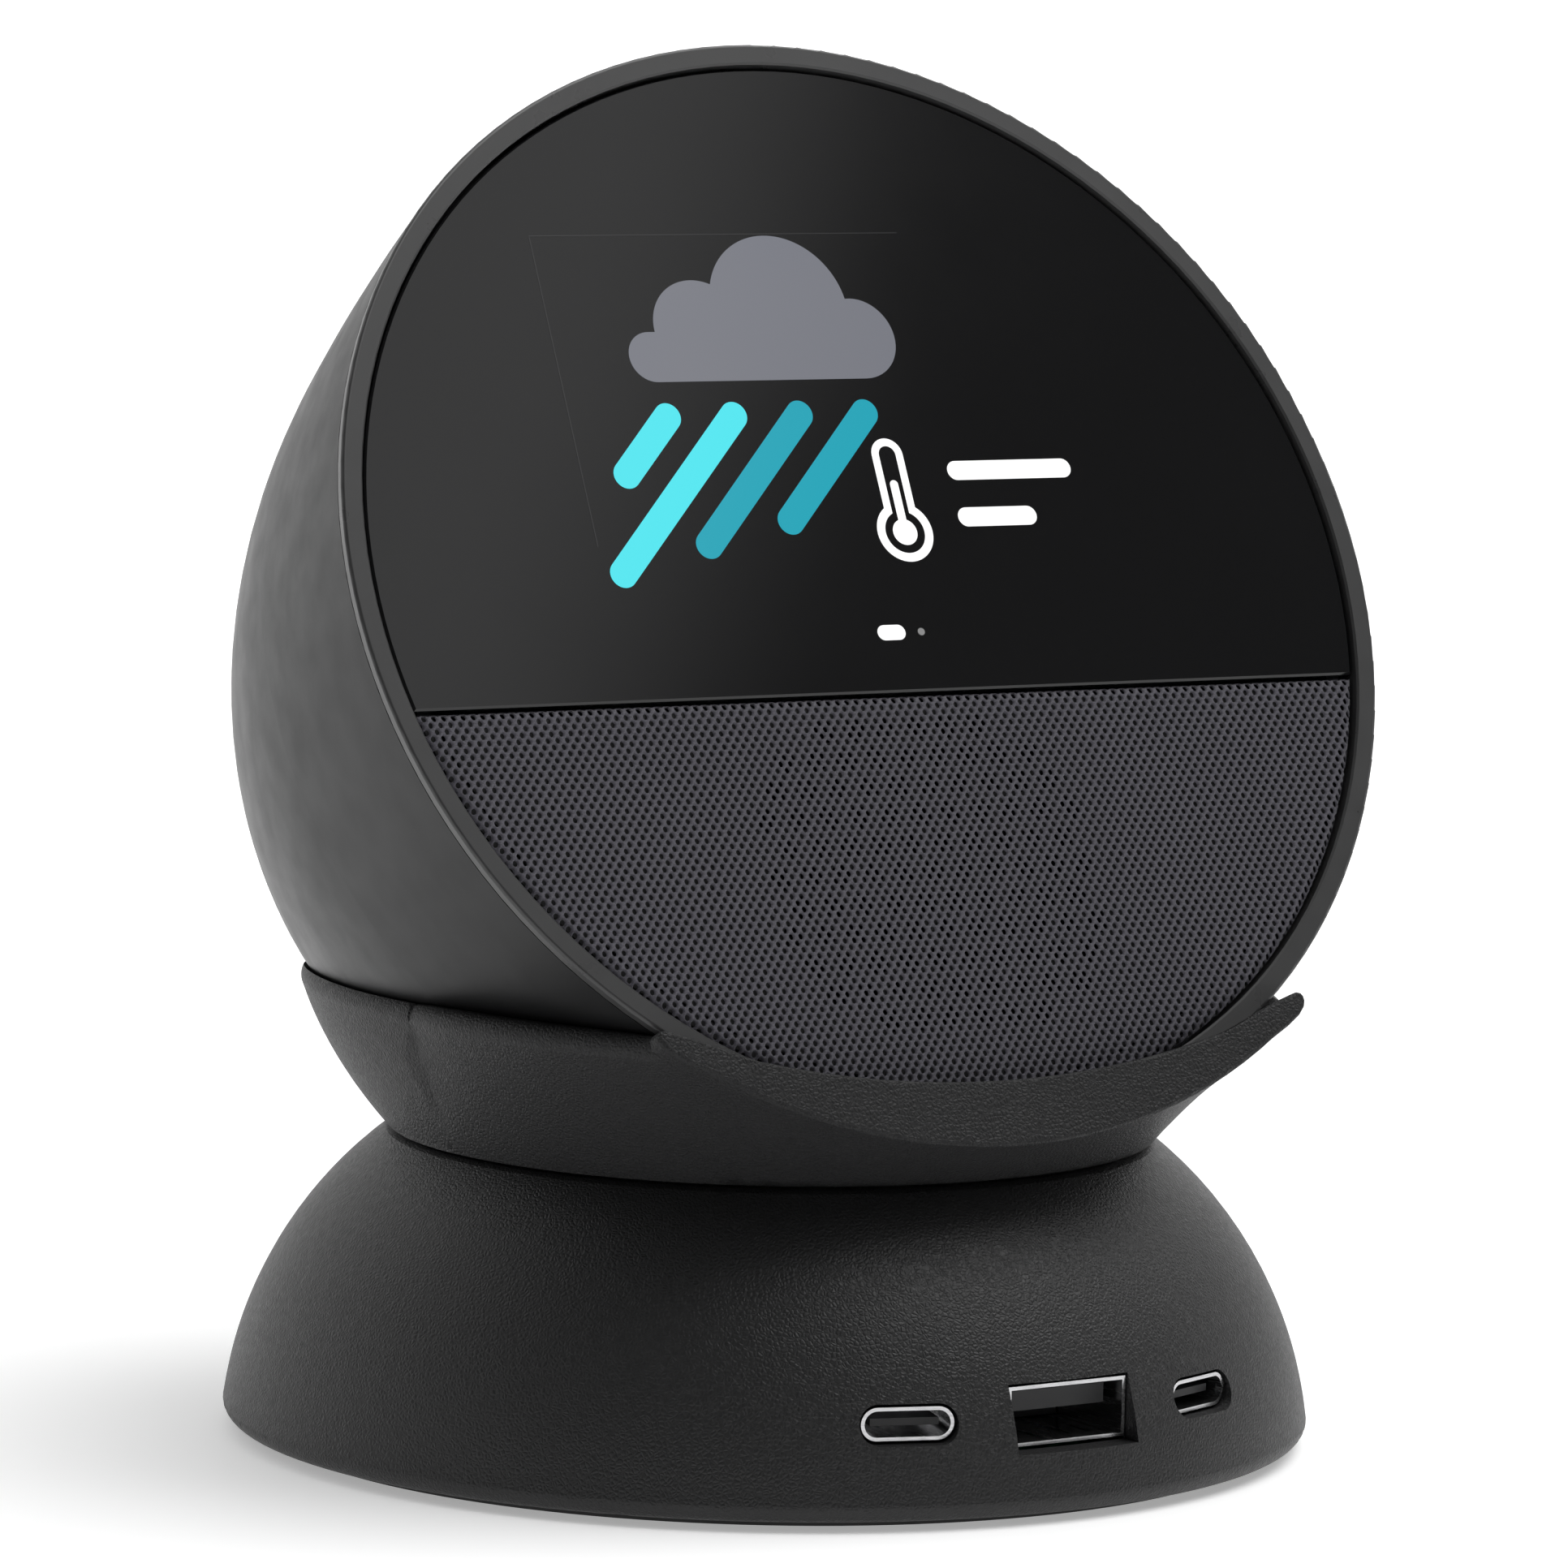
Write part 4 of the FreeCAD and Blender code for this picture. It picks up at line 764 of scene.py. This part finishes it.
def plate(name, loops, finish, bands=()):
    """Thin plates on the glass from outlines (one filled face each) and bands (outer, inner)."""
    bm = bmesh.new()
    for outline in loops:
        ring = [bm.verts.new(on_face(u, v, GLASS_W)) for u, v in outline]
        bm.faces.new(ring)
    for outer, inner in bands:
        a = [bm.verts.new(on_face(u, v, GLASS_W)) for u, v in outer]
        b = [bm.verts.new(on_face(u, v, GLASS_W)) for u, v in inner]
        for k in range(len(a)):
            n = (k + 1) % len(a)
            bm.faces.new((a[k], a[n], b[n], b[k]))
    bmesh.ops.recalc_face_normals(bm, faces=bm.faces[:])
    for face in bm.faces:
        if face.normal.dot(OUT_OF_FACE) < 0:
            face.normal_flip()
    grown = bmesh.ops.extrude_face_region(bm, geom=bm.faces[:])
    lifted = [g for g in grown["geom"] if isinstance(g, bmesh.types.BMVert)]
    bmesh.ops.translate(bm, verts=lifted, vec=OUT_OF_FACE * PLATE * MM)
    bmesh.ops.recalc_face_normals(bm, faces=bm.faces[:])
    mesh = bpy.data.meshes.new(name)
    bm.to_mesh(mesh)
    bm.free()
    mesh.materials.append(finishes[finish])
    made = bpy.data.objects.new(name, mesh)
    bpy.context.scene.collection.objects.link(made)
    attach(made, "head")
    print(name, len(mesh.polygons), "faces")
    return made


# %% [markdown]
# ## Cloud and rain
# The cloud is one outline: four round lobes over a flat bottom. The outline goes round the arcs of
# the lobes from one meeting point to the next. The rain is four bars with round ends, all at 45
# degrees and evenly spaced, of different lengths.

# %% Cloud
def arc(centre, radius, start, stop, steps=28):
    """Points from one angle to another, in degrees, anticlockwise."""
    return [(centre[0] + radius * math.cos(math.radians(start + (stop - start) * k / steps)),
             centre[1] + radius * math.sin(math.radians(start + (stop - start) * k / steps)))
            for k in range(steps + 1)]


def meeting(a, ra, b, rb):
    """Upper point where two circles cross."""
    dx, dy = b[0] - a[0], b[1] - a[1]
    d = math.hypot(dx, dy)
    along = (ra ** 2 - rb ** 2 + d ** 2) / (2 * d)
    off = math.sqrt(ra ** 2 - along ** 2)
    crossings = [(a[0] + (along * dx + s * off * dy) / d, a[1] + (along * dy - s * off * dx) / d)
                 for s in (1, -1)]
    return max(crossings, key=lambda p: p[1])


def angle_to(centre, point):
    return math.degrees(math.atan2(point[1] - centre[1], point[0] - centre[0])) % 360


SMALL, MIDDLE, BIG, RIGHT = (-18.65, 23.45), (-12.63, 26.25), (-3.3, 28.45), (4.7, 25.06)
R_SMALL, R_MIDDLE, R_BIG, R_RIGHT = 2.62, 5.2, 7.64, 4.24
step_side = (MIDDLE[0] - math.sqrt(R_MIDDLE ** 2 - (SMALL[1] + R_SMALL - MIDDLE[1]) ** 2),
             SMALL[1] + R_SMALL)
left_dip = meeting(MIDDLE, R_MIDDLE, BIG, R_BIG)
right_dip = meeting(BIG, R_BIG, RIGHT, R_RIGHT)
cloud_line = arc(RIGHT, R_RIGHT, -90, angle_to(RIGHT, right_dip))
cloud_line += arc(BIG, R_BIG, angle_to(BIG, right_dip), angle_to(BIG, left_dip), 40)[1:]
cloud_line += arc(MIDDLE, R_MIDDLE, angle_to(MIDDLE, left_dip), angle_to(MIDDLE, step_side))[1:]
cloud_line += arc(SMALL, R_SMALL, 90, 270)
plate("weather_cloud", [cloud_line], "cloud_light")

# %% Rain
BAR_TOP_V, BAR_STEP, BAR_HALF = 17.19, 7.37, 1.43
FIRST_BAR_U = -18.53
BAR_RUNS = (5.9, 16.05, 13.35, 11.1)


def rain_bar(number):
    u, run = FIRST_BAR_U + BAR_STEP * number, BAR_RUNS[number]
    return (arc((u, BAR_TOP_V), BAR_HALF, -45, 135, 16)
            + arc((u - run, BAR_TOP_V - run), BAR_HALF, 135, 315, 16))


plate("rain_near", [rain_bar(0), rain_bar(1)], "bright_rain_light")
plate("rain_far", [rain_bar(2), rain_bar(3)], "dim_rain_light")

# %% [markdown]
# ## The reading
# No text is on this object, so plain shapes stand in for the reading beside the cloud: a small
# thermometer and two bars. The thermometer's outline is a round bulb that runs into a tube. The
# same outline at two sizes makes its wall, and a third, smaller one is the filled column inside.

# %% Thermometer and bars
BULB, BULB_STEPS, TUBE_STEPS = (5.0, 4.6), 40, 16


def tube_line(bulb_radius, half_wide, top_v):
    """Outline of a bulb with a round-topped tube standing on it."""
    neck = math.degrees(math.asin(half_wide / bulb_radius))
    return (arc(BULB, bulb_radius, 90 + neck, 450 - neck, BULB_STEPS)
            + arc((BULB[0], top_v), half_wide, 0, 180, TUBE_STEPS))


def level_bar(from_u, to_u, v, half_high):
    return (arc((to_u, v), half_high, -90, 90, TUBE_STEPS)
            + arc((from_u, v), half_high, 90, 270, TUBE_STEPS))


BARS_FROM, BAR_THICK = 12.4, 1.0
column = tube_line(1.35, 0.45, 9.6)
bars = [level_bar(BARS_FROM, 24.6, 10.9, BAR_THICK), level_bar(BARS_FROM, 19.4, 6.0, BAR_THICK)]
wall = (tube_line(3.1, 1.75, 12.7), tube_line(2.2, 0.95, 12.7))
plate("temperature", [column] + bars, "white_light", bands=[wall])

# %% Page marks and the edge of the picture
pill = arc((1.615, -5.77), 0.785, -90, 90, 14) + arc((0.065, -5.77), 0.785, 90, 270, 14)
plate("page_mark_wide", [pill], "white_light")
plate("page_mark_dot", [arc((4.2, -5.78), 0.38, 0, 345, 23)], "dot_light")
PICTURE_LEFT, PICTURE_TOP, EDGE_LINE = -29.37, 36.33, 0.09
left_line = [(PICTURE_LEFT, 4.0), (PICTURE_LEFT + EDGE_LINE, 4.0),
             (PICTURE_LEFT + EDGE_LINE, PICTURE_TOP - 0.2), (PICTURE_LEFT, PICTURE_TOP - 0.2)]
top_line = [(PICTURE_LEFT, PICTURE_TOP - EDGE_LINE), (12.0, PICTURE_TOP - EDGE_LINE),
            (12.0, PICTURE_TOP), (PICTURE_LEFT, PICTURE_TOP)]
plate("picture_edge", [left_line, top_line], "border_light")

# %% [markdown]
# ## Marks on the keys
# The two volume keys carry a raised minus and plus, and the middle key a small ring with a bar for
# the microphone, so that fingers can tell them apart. The bars are moulded with the key, so they
# ride on it and move with it. Each mark is drawn flat, then set on the key's own top.

# %% Key marks
FACE_AXIS_TILT = {"volume_up_button": 15.0, "mute_button": 0.0, "volume_down_button": -15.0}
MARK_HIGH, MARK_HALF, MARK_LONG = 0.16, 0.24, 1.25
MUTE_RING, MUTE_BAR = 1.25, 1.9
KEY_DEPTH, SIDE_BOW, SIDE_START = 19.0, 328.0, math.radians(5.86)
TOP_LAYER = 0.00002
BEAD_STEPS, BEAD_SINK = 10, 0.02


def key_frame(node):
    """Middle of the key's top and its outward direction, from the node's own mesh."""
    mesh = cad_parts[node].data
    spin = math.radians(FACE_AXIS_TILT[node])
    slope = math.asin((KEY_DEPTH + SIDE_BOW * math.sin(SIDE_START)) / SIDE_BOW)
    out = Vector((-math.sin(spin) * math.cos(slope), math.cos(spin) * math.cos(slope),
                  -math.sin(slope)))
    out = (FACE @ out).normalized()
    far = max(v.co.dot(out) for v in mesh.vertices)
    top = [v.co for v in mesh.vertices if v.co.dot(out) > far - TOP_LAYER]
    middle = sum(top, Vector()) / len(top)
    across = FACE @ Vector((math.cos(spin), math.sin(spin), 0))
    return middle, across.normalized(), out


def mark_bar(bm, place, angle, long):
    """A low bar with rounded ends and a rounded top, drawn in the key's own plane."""
    middle, across, out = place
    along = out.cross(across)
    c, s = math.cos(angle), math.sin(angle)
    u, v = across * c + along * s, along * c - across * s
    levels = ((1.0, -0.12), (1.0, MARK_HIGH * 0.45), (0.72, MARK_HIGH * 0.85), (0.3, MARK_HIGH))
    rings = []
    for share, height in levels:
        half = MARK_HALF * share
        reach = long - MARK_HALF
        outline = arc((reach, 0), half, -90, 90, 8) + arc((-reach, 0), half, 90, 270, 8)
        rings.append([bm.verts.new(middle + (u * a + v * b + out * height) * MM)
                      for a, b in outline])
    for low, high in zip(rings, rings[1:]):
        for k in range(len(low)):
            n = (k + 1) % len(low)
            bm.faces.new((low[k], low[n], high[n], high[k]))
    bm.faces.new(rings[0][::-1])
    bm.faces.new(rings[-1])


def mark_ring(bm, place, radius, steps=36):
    """A low round bead lying on the key."""
    middle, across, out = place
    along = out.cross(across)
    turns = [2 * math.pi * k / BEAD_STEPS for k in range(BEAD_STEPS)]
    section = [(MARK_HALF * math.cos(t), MARK_HIGH * math.sin(t) - BEAD_SINK) for t in turns]
    rings = []
    for k in range(steps):
        t = 2 * math.pi * k / steps
        ray = across * math.cos(t) + along * math.sin(t)
        rings.append([bm.verts.new(middle + (ray * (radius + a) + out * b) * MM)
                      for a, b in section])
    for k in range(steps):
        one, two = rings[k], rings[(k + 1) % steps]
        for j in range(BEAD_STEPS):
            n = (j + 1) % BEAD_STEPS
            bm.faces.new((one[j], two[j], two[n], one[n]))


def key_mark(name, node, body, bars, ring=0.0):
    bm = bmesh.new()
    place = key_frame(node)
    for angle, long in bars:
        mark_bar(bm, place, angle, long)
    if ring:
        mark_ring(bm, place, ring)
    bmesh.ops.recalc_face_normals(bm, faces=bm.faces[:])
    mesh = bpy.data.meshes.new(name)
    bm.to_mesh(mesh)
    bm.free()
    mesh.materials.append(finishes["key_rubber"])
    for face in mesh.polygons:
        face.use_smooth = True
    made = bpy.data.objects.new(name, mesh)
    bpy.context.scene.collection.objects.link(made)
    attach(made, body)
    print(name, len(mesh.polygons), "faces on", node)


key_mark("plus_mark", "volume_up_button", "volume_up",
         [(0.0, MARK_LONG), (math.pi / 2, MARK_LONG)])
key_mark("mute_mark", "mute_button", "mute", [(math.pi / 4, MUTE_BAR)], ring=MUTE_RING)
key_mark("minus_mark", "volume_down_button", "volume_down", [(0.0, MARK_LONG)])

# %% [markdown]
# ## Floor
# A pale seamless floor, large enough to fill the view. It belongs to the stage, not the object. It
# lies a hair under the rubber foot, so that the two faces don't fight for the same depth. It glows
# a little, like a lit table, which keeps it pale right up to the object.

# %% Floor
FLOOR_Z = -0.00003
FLOOR_CORNERS = ((-12, -6), (12, -6), (12, 18), (-12, 18))
FLOOR_GLOW = 0.34


def make_floor():
    r = Recipe("pale_floor", (0.90, 0.90, 0.90), 0.65, Specular_IOR_Level=0.2,
               Emission_Color=(1.0, 1.0, 1.0, 1.0), Emission_Strength=FLOOR_GLOW)
    r.mottle(r.noise(2.0, 2.0), 0.02)
    r.bump(r.noise(700.0, 2.0), 0.00002, 0.1)
    bm = bmesh.new()
    bm.faces.new([bm.verts.new((x, y, FLOOR_Z)) for x, y in FLOOR_CORNERS])
    mesh = bpy.data.meshes.new("floor")
    bm.to_mesh(mesh)
    bm.free()
    mesh.materials.append(r.mat)
    floor = bpy.data.objects.new("floor", mesh)
    bpy.context.scene.collection.objects.link(floor)


make_floor()

# %% [markdown]
# ## Studio light
# Black plastic shows little of its own colour: nearly all that is seen is what it reflects. So the
# light is a whole surrounding dome, dim in itself and painted with soft panels: a broad one
# behind, a faint one on the left, one on the right, a small strong one above, and one up in front
# whose soft edge falls across the glass. A panel is a direction, a width and a softness, worked
# out from the angle to that direction.

# %% Studio light
PANELS = (
    # direction, cosine where it starts, cosine where it is full, brightness
    ((0.0, 0.90, 0.40), 0.25, 0.90, 1.05),
    ((-0.95, 0.30, 0.15), 0.70, 0.97, 0.12),
    ((0.95, 0.30, 0.10), 0.55, 0.95, 0.55),
    ((0.42, -0.10, 0.90), 0.880, 0.940, 4.4),
    ((0.2057, -0.5486, 0.8104), 0.9385, 0.9515, 1.02),
)
SURROUND = 0.11


def studio():
    world = bpy.data.worlds.new("studio")
    bpy.context.scene.world = world
    world.use_nodes = True
    tree = world.node_tree
    tree.nodes.clear()
    out = tree.nodes.new("ShaderNodeOutputWorld")
    back = tree.nodes.new("ShaderNodeBackground")
    tree.links.new(back.outputs[0], out.inputs["Surface"])
    coord = tree.nodes.new("ShaderNodeTexCoord")
    total = None
    for direction, start, full, bright in PANELS:
        dot = tree.nodes.new("ShaderNodeVectorMath")
        dot.operation = "DOT_PRODUCT"
        tree.links.new(coord.outputs["Generated"], dot.inputs[0])
        dot.inputs[1].default_value = Vector(direction).normalized()
        fade = tree.nodes.new("ShaderNodeMapRange")
        fade.interpolation_type = "SMOOTHSTEP"
        tree.links.new(dot.outputs["Value"], fade.inputs["Value"])
        for key, value in (("From Min", start), ("From Max", full), ("To Min", 0.0),
                           ("To Max", bright)):
            fade.inputs[key].default_value = value
        add = tree.nodes.new("ShaderNodeMath")
        if total is None:
            add.inputs[0].default_value = SURROUND
        else:
            tree.links.new(total, add.inputs[0])
        tree.links.new(fade.outputs["Result"], add.inputs[1])
        total = add.outputs[0]
    tree.links.new(total, back.inputs["Strength"])
    bpy.context.scene.view_settings.view_transform = "Standard"


studio()
print("studio with", len(PANELS), "soft panels")
